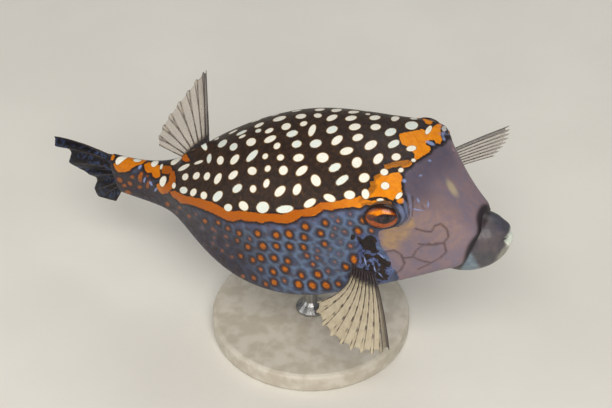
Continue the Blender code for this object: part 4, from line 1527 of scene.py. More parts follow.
    def _flank_spots(self, back: Array, face: Array, facing: Array,
                     ) -> tuple[list[Mark], list[Mark]]:
        """The ringed spots of the flank and the stalk, and the freckles between them."""
        s, m, read = self.sizes, self.marks, self.reader
        long = m.flank_long
        flank = [read.mark(x, y, size * long, size / long, m.flank_tilt_deg, tone)
                 for x, y, size, tone in m.flank_spots]
        right = np.tile(self.rings <= BODY.belly, len(self.rows)) & (self.half > s.flank_ring)
        room = (facing < s.flank_facing) & (back < -s.flank_room) & (face < -s.face_room)
        flank += self._filled(flank, room & right, s.flank_every, s.flank_sizes, s.flank_slope)
        flank += [read.mark(*dot) for dot in m.stalk_dots]
        room = (back < -s.freckle_room) & (face < -s.freckle_room) & right
        freckles = self._filled(flank, room, s.freckle_every, s.freckle_sizes, s.flank_slope)
        freckles += [mark.mirrored() for mark in freckles]
        return read.both_sides(flank, s.flank_apart), freckles

    def _lattice(self, marks: list[Mark]) -> Array:
        """Distance to the border between each point's two nearest flank spots."""
        first = second = np.full(len(self.plain), np.inf)
        for mark in marks:
            away = np.linalg.norm(self.plain - mark.centre, axis=1)
            away -= np.linalg.norm(mark.along)
            second = np.minimum(second, np.maximum(first, away))
            first = np.minimum(first, away)
        return (second - first) / 2

    def _plates(self) -> Array:
        """Grooves between the six-sided plates of the carapace, from 0 to -1."""
        s = self.sizes
        cells = []
        for shift in (0.0, 0.5):
            along, around = (v - shift - np.round(v - shift) for v in (
                self.xs / s.plate_every, self.half * s.plates_round))
            cells.append(np.hypot(along, around * s.plate_stretch))
        return -bell(cells[0] - cells[1], s.plate_groove) * (self.xs < s.face_edge[0][1])

    def _patches(self, places: Rows) -> Array:
        """How far each point lies inside patches drawn in the photograph, on both sides."""
        marks = [self.reader.mark(*place) for place in places]
        return marks_field(self.reader.both_sides(marks, self.sizes.patch_apart), self.plain)[0]

    def fields(self, shaped: Array) -> Fields:
        """Every field that the hide's paint reads, given the points with their relief."""
        s, m, read, xs, half = self.sizes, self.marks, self.reader, self.xs, self.half
        band = read.path(m.band)
        above = self._above(band)
        back = np.where(xs < s.stalk_from, np.minimum(above, xs - s.stalk_from), above)
        face = read.zones((m.face_zone,), xs - np.interp(half, *zip(*s.face_edge)))
        facing = self.normals @ CAMERA.axes()[2]
        spot, spot_tone = marks_field(self._back_spots(back, face, facing), self.plain)
        flank, freckles = self._flank_spots(back, face, facing)
        ringed, ringed_tone = marks_field(flank, self.plain)
        ochre = self._ochre(band)
        on_ochre = ochre > s.ochre_past
        suture = np.min([line_distance(read.path(line), self.plain) for line in m.sutures],
                        axis=0)
        # painted shade, summed from its areas
        dusk = sum(strength * smooth(x_from, x_to, xs) * smooth(ring_from, ring_to, half)
                   for strength, x_from, x_to, ring_from, ring_to in s.dusk)
        rear = smooth(*s.rear_x, xs) - s.rear_stalk * smooth(*s.rear_stalk_x, xs)
        orbits = [EYE.orbit(side, self.plain) for side in Side]
        return {
            "spot_mm": spot,
            "spot_cool": (spot > s.cool_spot[0]) & (spot_tone < s.cool_spot[1]),
            "back_mm": back, "face_mm": face, "ringed_mm": ringed,
            "faint": (1 - ringed_tone) * smooth(*s.faint_from, ringed),
            "net_mm": self._lattice(flank),
            "freckle_mm": marks_field(freckles, self.plain)[0],
            "violet": smooth(*s.violet_back, back) * smooth(*s.violet_x, xs),
            "ochre_mm": ochre, "ochre_rear": rear * on_ochre,
            "ochre_dim": smooth(*s.dim_in, read.zones(m.dim_zones)) * on_ochre,
            "edge_mm": np.abs(face) + s.edge_under * (back < -s.edge_under),
            "dusk": np.clip(dusk, 0, 1),
            "brow": bell(face - s.brow_at[0], s.brow_at[1]) * smooth(*s.brow_ring, half)
            * (face > s.brow_past),
            "pale_mm": self._patches(m.pale_marks),
            "tan": smooth(*s.tan_in, self._patches(m.tan_patches)) * (face > s.tan_past),
            "straw": smooth(*s.straw_in, self._patches(m.straw_patches)),
            "blush": smooth(*s.blush_in, read.zones((m.blush_zone,))) * (face > 0),
            "smoke_mm": read.zones(m.smoke_zones), "suture_mm": suture,
            # painted shade in the crease where the skin meets the lips
            "crease": smooth(*s.crease_in, MOUTH.bulb_distance(shaped))
            * smooth(*s.crease_past, s.past_muzzle(shaped)),
            "orbit": orbits[0][0] + orbits[1][0], "orbit_pale": orbits[0][1] + orbits[1][1],
            "gill_mm": np.minimum(read.zones((m.gill_zone,)) - s.gill_inset, 0),
            "plates": self._plates() - s.suture_depth * bell(suture, s.suture_width),
        }

    def _ring_of(self, points: Array) -> Array:
        """Places round the ring of points of the body, as if on the right side."""
        near = [int(np.argmin(((self.plain - point) ** 2).sum(1))) for point in points]
        return BODY.half_ring(self.rings[np.array(near) % len(self.rings)])

    def _ochre(self, band: Array) -> Array:
        """How far each point lies inside the orange band, its stripe and the patches."""
        m = self.marks
        stripe = self.reader.path(m.brow_stripe)
        return np.max([self.reader.zones(m.ochre_zones),
                       m.band_half_mm - line_distance(band, self.plain),
                       m.stripe_half_mm - line_distance(stripe, self.plain)], axis=0)

    def build(self) -> Object:
        """Makes the skin.

        Returns:
            The skin, in place of the three nodes of flesh.
        """
        shaped = self._shaped()
        rows, columns = len(self.rows), len(self.rings)
        ends = [shaped[:columns].mean(axis=0), shaped[-columns:].mean(axis=0)]
        fields = {name: np.concatenate([values, [values[:columns].mean(),
                                                 values[-columns:].mean()]])
                  for name, values in self.fields(shaped).items()}
        made = piece("skin", np.vstack([shaped, ends]), tube_faces(rows, columns), HIDE, fields)
        settle(made, "skin_back", "head", "carapace", "tail_stalk")
        return made


def ellipsoid_grid(centre: Array, axes: Array, half: Triple,
                   rows: int, columns: int) -> Array:
    """Rings of an ellipsoid round its third axis, then its two poles.

    Args:
        centre: of the ellipsoid.
        axes: its three unit axes as rows.
        half: its half lengths along them.
        rows: rings between the poles.
        columns: points in each.

    Returns:
        Points as (rows * columns + 2, 3), as tube_faces takes them.
    """
    polar = np.linspace(0, math.pi, rows + 2)[1:-1, None]
    turn = np.linspace(0, 2 * math.pi, columns, endpoint=False)[None, :]
    ball = np.stack([np.sin(polar) * np.cos(turn), np.sin(polar) * np.sin(turn),
                     np.cos(polar) + 0 * turn], -1).reshape(-1, 3)
    ball = np.vstack([ball, [[0, 0, 1], [0, 0, -1]]])
    return centre + (ball * half) @ axes


class Eyes:
    """The two eyes: balls with an iris, an almond pupil and a dark rim."""

    rows, columns = 60, 96
    pupil_half, pupil_at, pupil_tilt = (3.5, 1.6), (1.35, 0.65), 0.1
    pupil_point = 0.6  # how far its corners are drawn in
    corner_half, corner_at = (1.9, 1.0), (-2.3, 1.2)
    iris_reach = 0.93
    # the painted highlight over the top of the iris: where it comes in upwards, and where it ends
    # towards the rim
    upper_from, upper_edge = (-0.1, 0.7), (0.92, 0.7)
    # the painted reflection in the pupil: its middle, and where it fades out
    glint_at, glint_fade = (2.4, 0.5), (1.0, 0.2)
    behind = 1.5  # added to the reach of what lies inside the head

    def _fields(self, frame: LocalFrame, points: Array) -> Fields:
        """Where the iris, pupil and rim lie on an eyeball, with the painted highlight and the
        painted reflection.
        """
        along, above, off = frame.offsets(points)
        size = (EYE.half[0] + EYE.half[1]) / 2
        reach = ellipse_reach(along, above, EYE.half) + self.behind * (off < -EYE.sunk)
        u = (along - self.pupil_at[0]) / self.pupil_half[0]
        w = (above - self.pupil_at[1]) / self.pupil_half[1] + self.pupil_tilt * u
        almond = 1 - np.sqrt(u**2 + w**2 + self.pupil_point * np.abs(u * w))
        corner = 1 - ellipse_reach(along, above, self.corner_half, self.corner_at)
        glint = np.hypot(along - self.glint_at[0], above - self.glint_at[1])
        return {
            "rim_mm": (reach - self.iris_reach) * size / 2,
            "iris_mm": (self.iris_reach - reach) * size,
            # painted highlight over the top of the iris
            "upper_iris": smooth(*self.upper_from, w) * smooth(*self.upper_edge, reach),
            "pupil_mm": almond * sum(self.pupil_half) / 2,
            "corner_mm": corner * sum(self.corner_half) / 2,
            # painted reflection in the pupil
            "glint_zone": smooth(*self.glint_fade, glint),
        }

    def build(self) -> None:
        """Makes both eyes."""
        for side in Side:
            frame = EYE.frame(side)
            axes = np.stack([frame.forward, frame.up, frame.outward])
            points = ellipsoid_grid(frame.centre - frame.outward * EYE.sunk, axes, EYE.half,
                                    self.rows, self.columns)
            made = piece(f"eyeball_{side.value}", points, tube_faces(self.rows, self.columns),
                         EYEBALL, self._fields(frame, points))
            settle(made, "eye", f"eye_{side.value}")


class Mouth:
    """Plump lips with a small open mouth, and a row of teeth in each jaw."""

    rows, columns = 130, 200
    # areas of the lips in the photograph, drawn on past their outline
    zones: dict[str, Outline] = {
        "slate_mm": ((488.5, 208.1), (488, 214.4), (491.4, 220.1), (495.7, 224.9),
                     (496.1, 230.6), (500.5, 231.6), (503.8, 230.6), (506.7, 233),
                     (510, 232.5), (522, 231), (512, 205), (492, 198)),
        "cool_mm": ((469.4, 249.3), (466, 256.5), (458, 262.2), (460, 272), (471.7, 273),
                    (481, 270), (477, 262.2), (473.2, 256.5), (471.7, 252.6)),
        "shade_mm": ((474.1, 252.6), (483.7, 253.6), (493.3, 252.6), (496.6, 258.9),
                     (488.5, 264.1), (482.8, 263.6), (476.5, 258.9)),
    }
    # pale areas across the middle: height, half width and half height in millimetres
    pale = {"white_mm": (-0.8, 3.2, 2.5), "rim_mm": (-5.4, 5.0, 5.0)}
    pale_depth_mm = 12.0
    # where the open slit fades out past its half width: in its relief, and in its painted shade
    gape_shape, gape_paint = (0.0, -1.6), (0.4, -1.2)
    # width of the painted shade in the slit, as a share of its half height, and strength of the
    # painted shade in the fold grooves
    gape_dark, fold_dark = 0.8, 0.7
    fold_shape, fold_paint = 0.42, 0.45  # widths in millimetres
    tooth_steps, tooth_seed = 24, 5

    def __init__(self, sizes: MouthSizes) -> None:
        """Keeps the sizes and the axes of the mouth's own plane."""
        self.sizes = sizes
        self.ahead, self.left, self.up = tilted_axes(sizes.slope_deg)

    def _places(self, points: Array) -> tuple[Array, Array, Array]:
        """How far points lie ahead of the mouth's front, to its left and above its slit."""
        away = points - np.array(self.sizes.front)
        return away @ self.ahead, away @ self.left, away @ self.up

    def _open(self, ahead: Array, left: Array, outer: float, inner: float) -> Array:
        """1 where the slit is open, fading out from inner to outer past its half width."""
        s = self.sizes
        wide = smooth(s.gape_wide + outer, s.gape_wide + inner, np.abs(left))
        return smooth(*s.gape_from, ahead) * wide

    def _folds(self, ahead: Array, left: Array, up: Array, width: float) -> Array:
        """The folds that run round the lips behind the mouth."""
        s = self.sizes
        back = np.hypot(ahead - s.folds_middle, left * s.folds_narrow)
        return sum(bell(back - reach - s.folds_lean * up, width) for reach in s.folds_at)

    def _shaped(self, points: Array, centre: Array) -> Array:
        """The bulb with its slit, swollen lip edges and folds."""
        s = self.sizes
        ahead, left, up = self._places(points)
        lift = -s.gape_depth * bell(up, s.gape_half)
        lift += s.lip_swell * bell(np.abs(up) - s.swell_at, s.swell_wide)
        lift += s.crease_depth * np.sin(left * s.crease_turns) * bell(
            np.abs(up) - s.crease_at, s.crease_wide)
        lift *= self._open(ahead, left, *self.gape_shape)
        folds = self._folds(ahead, left, up, self.fold_shape)
        lift -= s.fold_depth * folds * smooth(*s.folds_end, np.abs(up))
        return points + unit(points - centre) * lift[:, None]

    def _fields(self, points: Array, normals: Array) -> Fields:
        """Where the lips' colours and their painted shade lie."""
        read = PictureReader(points, normals)
        ahead, left, up = self._places(points)
        fields = {name: read.zones((outline,)) for name, outline in self.zones.items()}
        for name, (height, wide, tall) in self.pale.items():
            inside = (1 - ellipse_reach(left, up, (wide, tall), (0.0, height))) * tall
            fields[name] = inside - tall * (ahead < -self.pale_depth_mm)
        # painted shade inside the open slit
        gape = bell(up, self.sizes.gape_half * self.gape_dark)
        folds = np.clip(self._folds(ahead, left, up, self.fold_paint), 0, 1)
        return fields | {
            "gape": gape * self._open(ahead, left, *self.gape_paint),
            # painted shade in the fold grooves
            "fold": folds * self.fold_dark,
            # painted shade where the lips go in under the skin
            "root": smooth(*SKIN.lip_root, SKIN.past_muzzle(points))}

    def build(self) -> None:
        """Makes the lips and both rows of teeth."""
        s = self.sizes
        centre, axes = np.array(s.centre), tilted_axes(s.tilt_deg)[[2, 0, 1]]
        half = (s.half[2], s.half[0], s.half[1])
        plain = ellipsoid_grid(centre, axes, half, self.rows, self.columns)
        outward = unit((plain - centre) @ axes.T / np.array(half) ** 2) @ axes
        made = piece("lips", self._shaped(plain, centre), tube_faces(self.rows, self.columns),
                     LIP_SKIN, self._fields(plain, outward))
        settle(made, "lips", "upper_lip", "lower_lip")
        tree = tooth_row_tree()
        for jaw, sign in (("upper", 1.0), ("lower", -1.0)):
            teeth = self._teeth(tree, jaw, sign)
            settle(teeth, "teeth", *(("teeth",) if jaw == "upper" else ()))

    def _teeth(self, tree: NodeTree, jaw: str, sign: float) -> Object:
        """One jaw's row of teeth, set along an arc by Geometry Nodes."""
        s = self.sizes
        across = np.linspace(-s.jaw_wide, s.jaw_wide, self.tooth_steps)[:, None]
        arc = (np.array(s.front) - self.ahead * (s.jaw_back + s.jaw_curve * across**2)
               + self.left * across + self.up * sign * (s.gape_half + s.jaw_gap))
        line = edge_object(f"teeth_{jaw}", [arc], {})
        tilt = math.radians(POSE.nose_up_deg + s.slope_deg) - (math.pi if sign > 0 else 0.0)
        return run_tree(line, tree, {
            "Count": s.teeth, "Length": s.tooth_length * MM, "Radius": s.tooth_radius * MM,
            "Turn": (0.0, -tilt, 0.0), "Seed": self.tooth_seed,
            "Material": WARDROBE.get(ENAMEL)})


def edge_object(name: str, paths: list[Array], fields: dict[str, list[Array]]) -> Object:
    """A mesh of bare edges along paths, for Geometry Nodes to work from.

    Args:
        name: of the object.
        paths: points of each path in the fish's millimetres.
        fields: for each attribute, its values along each path.

    Returns:
        The object.
    """
    edges, start = [], 0
    for path in paths:
        edges += [[start + at, start + at + 1] for at in range(len(path) - 1)]
        start += len(path)
    joined = {key: np.concatenate(values) for key, values in fields.items()}
    return mesh_object(name, np.vstack(paths), edges, [], joined)


def new_tree(name: str, inputs: dict[str, tuple[str, object]],
             ) -> tuple[NodeTree, dict[str, Socket], Socket]:
    """A Geometry Nodes tree with named inputs, which starts from bare edges.

    Args:
        name: of the tree.
        inputs: the socket type and default of each input after the geometry.

    Returns:
        The tree, its inputs, and the edges as curves.
    """
    tree = bpy.data.node_groups.new(name, "GeometryNodeTree")
    tree.interface.new_socket("Geometry", in_out="OUTPUT", socket_type="NodeSocketGeometry")
    every = {"Geometry": ("Geometry", None)} | inputs | {"Material": ("Material", None)}
    for key, (kind, default) in every.items():
        socket = tree.interface.new_socket(key, in_out="INPUT", socket_type="NodeSocket" + kind)
        if default is not None:
            socket.default_value = default
    given = {socket.name: socket for socket in tree.nodes.new("NodeGroupInput").outputs}
    return tree, given, add(tree, "GeometryNodeMeshToCurve", {"Mesh": given["Geometry"]})


def close_tree(tree: NodeTree, given: dict[str, Socket], made: Socket) -> None:
    """Ends a tree: its instances are made real and given their material."""
    real = add(tree, "GeometryNodeRealizeInstances", {"Geometry": made})
    painted = add(tree, "GeometryNodeSetMaterial",
                  {"Geometry": real, "Material": given["Material"]})
    add(tree, "NodeGroupOutput", {"Geometry": painted})


def run_tree(source: Object, tree: NodeTree, values: dict[str, object]) -> Object:
    """Runs a tree on an object and keeps the result as a plain mesh.

    Args:
        source: the object that holds the paths; the result takes its name.
        tree: the Geometry Nodes tree.
        values: for its named inputs.

    Returns:
        A new object with the made mesh; the source is removed.
    """
    modifier = source.modifiers.new("nodes", "NODES")
    modifier.node_group = tree
    for item in tree.interface.items_tree:
        if item.in_out == "INPUT" and item.name in values:
            modifier[item.identifier] = values[item.name]
    name = source.name
    bpy.context.view_layer.update()
    graph = bpy.context.evaluated_depsgraph_get()
    mesh = bpy.data.meshes.new_from_object(source.evaluated_get(graph))
    bpy.data.objects.remove(source)
    mesh.name = name
    if not mesh.materials:
        mesh.materials.append(values["Material"])
    return linked(name, mesh)


def tooth_row_tree() -> NodeTree:
    """Small blunt teeth at even steps along a path, each a little unlike the next."""
    taper, smallest, largest = 0.45, 0.82, 1.08
    tree, given, path = new_tree("tooth_row", {
        "Count": ("Int", 8), "Length": ("Float", 0.001), "Radius": ("Float", 0.0003),
        "Turn": ("Vector", None), "Seed": ("Int", 1)})
    spots = add(tree, "GeometryNodeCurveToPoints", {"Curve": path, "Count": given["Count"]},
                mode="COUNT")
    tip = calc(tree, "MULTIPLY", given["Radius"], taper)
    tooth = add(tree, "GeometryNodeMeshCone", {
        "Vertices": 12, "Side Segments": 3, "Fill Segments": 1, "Radius Top": tip,
        "Radius Bottom": given["Radius"], "Depth": given["Length"]})
    size = add(tree, "FunctionNodeRandomValue",
               {"Min": smallest, "Max": largest, "Seed": given["Seed"]}, data_type="FLOAT")
    placed = add(tree, "GeometryNodeInstanceOnPoints", {
        "Points": spots, "Instance": tooth, "Rotation": given["Turn"], "Scale": size})
    close_tree(tree, given, placed)
    return tree


def fin_ray_tree() -> NodeTree:
    """Jointed rods along paths, as thick as the paths' own width says."""
    whole_turn = 6.28
    tree, given, path = new_tree("fin_rays", {
        "Joint Length": ("Float", 0.0012), "Joint Depth": ("Float", 0.12),
        "Sides": ("Int", 8), "Seed": ("Int", 1)})
    width = add(tree, "GeometryNodeInputNamedAttribute", {"Name": "width"}, data_type="FLOAT")
    length = add(tree, "GeometryNodeSplineParameter", out="Length")
    joints = calc(tree, "DIVIDE", length, given["Joint Length"])
    start = add(tree, "FunctionNodeRandomValue", {"Max": whole_turn, "Seed": given["Seed"]},
                data_type="FLOAT")
    turns = calc(tree, "MULTIPLY_ADD", joints, whole_turn, start)
    wave = calc(tree, "SINE", turns)
    swell = calc(tree, "MULTIPLY_ADD", wave, given["Joint Depth"], 1.0)
    radius = calc(tree, "MULTIPLY", width, swell)
    section = add(tree, "GeometryNodeCurvePrimitiveCircle",
                  {"Resolution": given["Sides"], "Radius": 1.0})
    rods = add(tree, "GeometryNodeCurveToMesh",
               {"Curve": path, "Profile Curve": section, "Scale": radius, "Fill Caps": True})
    close_tree(tree, given, add(tree, "GeometryNodeSetShadeSmooth", {"Geometry": rods}))
    return tree


# fins


@dataclass(frozen=True)
class FinLook:
    """How a fin's membrane and rays look.

    Attributes:
        open_solid, ray_solid: how solid the membrane is between rays and at them.
        dark_root: share of the fin's height that is dark at the root.
        dark_edge: how many rays at the leading edge are dark.
        leads_last: True if the leading edge is the last ray.
        dashes_mm: spacing of dark dashes along the rays.
        ray_root_mm, ray_tip_mm: radius of a ray.
        membrane_mm, root_mm: thickness of the membrane and of the fleshy root.
        billow_mm: how far the membrane swells between rays.
        scallop: how far the margin dips between rays.
        branch_at: where along its length a ray forks.
        marbled: how much blue marbling shows.
        pale_web: how much painted light, cream-coloured, lies on the web between the rays.
        dark_rays: the least darkness of the rays.
    """

    open_solid: float = 0.3
    ray_solid: float = 0.7
    dark_root: float = 0.16
    dark_edge: float = 1.0
    leads_last: bool = False
    dashes_mm: float = 3.2
    ray_root_mm: float = 0.27
    ray_tip_mm: float = 0.07
    membrane_mm: float = 0.14
    root_mm: float = 1.5
    billow_mm: float = 0.22
    scallop: float = 0.04
    branch_at: float = 0.45
    marbled: float = 0.0
    pale_web: float = 0.0
    dark_rays: float = 0.0


@dataclass(frozen=True)
class FinPlan:
    """Where a fin's rays run, as in the CAD part.

    Attributes:
        name: of the fin and of the CAD node that it stands for.
        roots: of its first and last ray, on the body as (x, ring) or free as (x, y, z).
        tips: of its rays, or of the first and the last one if rays is given.
        shares, offsets: the middle of a ray is these shares of its root and its tip, and
            an offset that goes from the first ray's to the last one's.
        look: of the membrane and rays.
        rays: how many, if the tips are only the first and the last one.
        bulge: how far the middle rays then reach past a straight margin.
        pleat_mm: how far the rays stand to either side in turn.
        finish: of the membrane.
        slot: the record's material slot.
    """

    name: str
    roots: Rows
    tips: Rows
    shares: Point
    offsets: Rows
    look: FinLook
    rays: int = 0
    bulge: tuple[float, ...] = (0.0, 0.0, 0.0)
    pleat_mm: float = 0.0
    finish: Finish = CLEAR_MEMBRANE
    slot: str = "fin_clear"


# dorsal: bent over to the fish's left; anal: hidden in the photograph; right pectoral: spread
# down and back; left pectoral: swung forwards; tail: half folded, pleated to either side
FIN_PLANS = (
    FinPlan("dorsal_fin", ((-31.5, 0.0), (-41.0, 0.0)), (
        (-31.5, 11.3, 39.7), (-32.6, 11.0, 39.1), (-35.4, 9.9, 36.8), (-38.6, 8.4, 33.6),
        (-42.2, 6.8, 30.2), (-45.6, 4.9, 26.6), (-48.2, 3.2, 23.4), (-50.0, 1.7, 20.2),
        (-50.2, 0.8, 17.4)), (0.5, 0.5), ((1.2, -1.6, 1.4), (0.4, -0.8, 0.6)),
        FinLook(open_solid=0.28, dark_edge=1.6, dark_root=0.15, dashes_mm=3.4,
                dark_rays=0.45)),
    FinPlan("anal_fin", ((-36.0, BODY.belly), (-44.5, BODY.belly)), (
        (-44.0, 11.0, -19.5), (-46.8, 12.2, -19.0), (-49.6, 12.8, -17.8),
        (-52.0, 12.8, -16.0), (-53.8, 12.2, -14.0), (-54.8, 11.0, -12.2),
        (-55.2, 9.4, -10.8), (-55.0, 7.6, -9.8)),
        (0.5, 0.5), ((0.4, -1.8, -1.6), (0.2, -1.0, -0.8)),
        FinLook(dark_edge=0.8, dark_root=0.14)),
    FinPlan("pectoral_fin_right", ((21.0, 4.15), (26.0, 4.55)), (
        (8.4, -29.0, -19.4), (8.2, -30.8, -22.0), (10.2, -33.0, -25.2), (13.2, -34.7, -27.8),
        (16.4, -36.0, -29.9), (19.8, -36.7, -31.3), (23.2, -36.9, -32.0),
        (26.6, -36.7, -32.3), (29.6, -36.2, -32.1), (32.2, -35.3, -31.2)),
        (0.0, 0.0), ((21.8, -27.2, -15.7), (29.8, -26.6, -19.4)),
        # the right pectoral's web carries the painted light
        FinLook(open_solid=0.4, dark_edge=0.9, dark_root=0.3, leads_last=True,
                pale_web=1.0)),
    FinPlan("pectoral_fin_left",
            ((26.0, BODY.on(Side.LEFT, 4.15)), (22.0, BODY.on(Side.LEFT, 4.6))),
            ((55.0, 40.5, 1.0), (50.1, 35.4, -7.4)), (1.0, 0.0),
            ((11.0, 8.6, 3.4), (12.0, 8.0, 1.4)),
            FinLook(open_solid=0.16, ray_solid=0.55, dark_edge=0.9, dark_root=0.25),
            rays=8, bulge=(1.4, 1.0, -0.4)),
    FinPlan("tail_fin", ((-73.4, 6.4, 8.4), (-73.4, 6.4, -4.2)), (
        (-102.3, 17.0, 8.2), (-101.0, 16.0, 6.3), (-95.5, 14.0, 4.9), (-96.1, 14.0, 0.9),
        (-93.0, 12.6, -2.0), (-87.8, 11.5, -2.2), (-86.3, 11.0, -4.9), (-87.2, 11.0, -7.8),
        (-86.8, 9.6, -11.4), (-78.0, 7.8, -10.4)),
        (0.45, 0.55), ((0, -1.5, 3.2), (0, -1.5, -0.8)),
        FinLook(open_solid=0.9, ray_solid=1.0, dark_root=0.2, dark_edge=0.0,
                ray_root_mm=0.4, ray_tip_mm=0.1, membrane_mm=0.3, root_mm=2.2,
                scallop=0.03, marbled=1.0, dashes_mm=4.5, dark_rays=1.0),
        pleat_mm=0.9, finish=TAIL_MEMBRANE, slot="fin_tail"),
)


class Fin:
    """A fin: a thin membrane over forked rays that are bent as quadratic curves."""

    columns_per_ray = 12
    rows = 44
    standoff_mm = 0.1
    pleat_in_middle = 0.6
    fork_spread = 0.2
    fork_end = 1.15
    fork_overlap = 0.02
    ray_end = 0.985
    ray_steps = 26
    branch_width = 0.75
    ray_phase = 2.4  # between the patterns of neighbouring rays
    fine_scallop = 0.4  # a second, finer dip of the margin, as a share of the first
    edge_fade = (0.8, 0.2)  # rays past the look's dark_edge, and where it is whole
    root_rise = 0.1  # share of the height over which the fleshy root thins out
    # the membrane near a ray: distances in millimetres, then strengths
    solid_mm, dash_mm, shade_mm, dash_on = 0.3, 0.32, 0.45, (-0.2, 0.6)
    edge_shade, ray_shade, edge_solid = 0.75, 0.35, 0.35
    # where the root's darkness begins and is whole, as shares of the look's dark_root
    root_of_rays, root_of_solid, root_of_paint = (2.0, 1.0), (1.7, 0.7), (1.4, 0.6)
    marble_mean, marble_swing, marble_waves = 0.62, 0.15, (7, 2)
    band_dark, band_from, band_waves = 0.8, (0.45, 0.8), 17  # dark bands along the rays
    joint_mm, joint_depth, ray_sides, ray_seed = 1.1, 0.1, 8, 3

    def __init__(self, plan: FinPlan) -> None:
        """Lays out the rays of a plan."""
        self.plan, self.look = plan, plan.look
        tips = np.array(plan.tips)
        count = plan.rays or len(tips)
        if plan.rays:
            tips = np.linspace(*plan.tips, count)
            tips += np.sin(np.linspace(0, math.pi, count))[:, None] * plan.bulge
        free = len(plan.roots[0]) == 3
        roots = (np.linspace(*plan.roots, count) if free
                 else BODY.line(*plan.roots, count, self.standoff_mm))
        fold = plan.pleat_mm * (-1.0) ** np.arange(count)
        tips[:, 1] += fold
        bends = (roots * plan.shares[0] + tips * plan.shares[1]
                 + np.linspace(*plan.offsets, count))
        bends[:, 1] += fold * self.pleat_in_middle
        self.roots, self.bends, self.tips = roots, bends, tips

    @staticmethod
    def _blend(values: Array, places: Array) -> Array:
        """Catmull-Rom interpolation through the rays' points at fractional ray numbers."""
        last = len(values) - 1
        at = np.clip(places.astype(int), 0, last - 1)
        t = (places - at)[:, None]
        before, after = values[np.maximum(at - 1, 0)], values[np.minimum(at + 2, last)]
        a, b = values[at], values[at + 1]
        return 0.5 * (2 * a + (b - before) * t + (2 * before - 5 * a + 4 * b - after) * t**2
                      + (3 * a - before - 3 * b + after) * t**3)

    def at(self, places: Array, along: Array) -> Array:
        """Points of the fin at ray numbers and shares of the rays' length, as matching grids."""
        flat = np.clip(places.ravel(), 0, len(self.tips) - 1)
        start, middle, end = (self._blend(v, flat) for v in (self.roots, self.bends, self.tips))
        t = along.ravel()[:, None]
        return ((1 - t) ** 2 * start + 2 * t * (1 - t) * middle + t**2 * end).reshape(
            *places.shape, 3)

    def _grid(self) -> tuple[Array, Array]:
        """Ray numbers and shares of length over the whole membrane."""
        rays, scallop = len(self.tips), self.look.scallop
        places = np.linspace(0, rays - 1, (rays - 1) * self.columns_per_ray + 1)
        reach = 1 - scallop * np.sin(math.pi * places) ** 2
        reach -= scallop * self.fine_scallop * np.sin(2 * math.pi * places) ** 2
        share = np.linspace(0, 1, self.rows + 1)[:, None]
        return np.broadcast_to(places, (self.rows + 1, len(places))), share * reach

    def _fork(self, along: Array) -> Array:
        """How far a ray's two branches stand from its middle, in ray numbers."""
        return self.fork_spread * smooth(self.look.branch_at, self.fork_end, along)

    def _root(self, ends: Point, along: Array) -> Array:
        """How dark or solid the root makes shares of a ray's length."""
        return smooth(self.look.dark_root * ends[0], self.look.dark_root * ends[1], along)

    def _edge(self, places: Array) -> Array:
        """How dark the leading edge makes places given as ray numbers."""
        lead = (len(self.tips) - 1 - places) if self.look.leads_last else places
        begins, whole = self.edge_fade
        return smooth(self.look.dark_edge + begins, whole, lead)

    def _fields(self, places: Array, along: Array, sheet: Array) -> Fields:
        """Where the membrane is dark, dashed, marbled and clear."""
        look, edge = self.look, self._edge(places)
        apart = np.linalg.norm(np.gradient(sheet, axis=1), axis=-1) * self.columns_per_ray
        number = np.round(places)
        ray = np.abs(np.abs(places - number) - self._fork(along)) * apart
        length = np.linalg.norm(self.tips - self.roots, axis=1).mean()
        phase = np.sin(2 * math.pi * along * length / look.dashes_mm + self.ray_phase * number)
        solid = look.open_solid + (look.ray_solid - look.open_solid) * bell(ray, self.solid_mm)
        solid = np.maximum(solid, self.edge_solid * edge + look.open_solid)
        solid = np.maximum(solid, self._root(self.root_of_solid, along))
        shade = self.edge_shade * edge + self.ray_shade * bell(ray, self.shade_mm)
        waves = np.sin(self.marble_waves[0] * along + self.marble_waves[1] * places)
        return {"shade": np.clip(shade, 0, 1), "solid": np.clip(solid, 0, 1),
                "dash": smooth(*self.dash_on, phase) * bell(ray, self.dash_mm),
                # painted light on the web
                "pale_web": np.full(along.shape, look.pale_web),
                "root_dark": self._root(self.root_of_paint, along),
                "marble": look.marbled * (self.marble_mean + self.marble_swing * waves)}

    def _membrane(self) -> Object:
        """The membrane as a closed thin sheet."""
        look = self.look
        places, along = self._grid()
        sheet = self.at(places, along)
        normals = unit(np.cross(np.gradient(sheet, axis=1), np.gradient(sheet, axis=0)))
        rise = bell(along, self.root_rise)
        thick = look.membrane_mm + (look.root_mm - look.membrane_mm) * rise
        billow = np.sin(2 * math.pi * places) * np.sin(math.pi * np.clip(along, 0, 1))
        middle = sheet + normals * (look.billow_mm * billow)[..., None]
        offset = normals * thick[..., None] / 2
        points = np.concatenate([middle + offset, middle - offset]).reshape(-1, 3)
        fields = {name: np.tile(values.ravel(), 2)
                  for name, values in self._fields(places, along, sheet).items()}
        return piece(self.plan.name + "_membrane", points, sheet_faces(*sheet.shape[:2]),
                     self.plan.finish, fields)

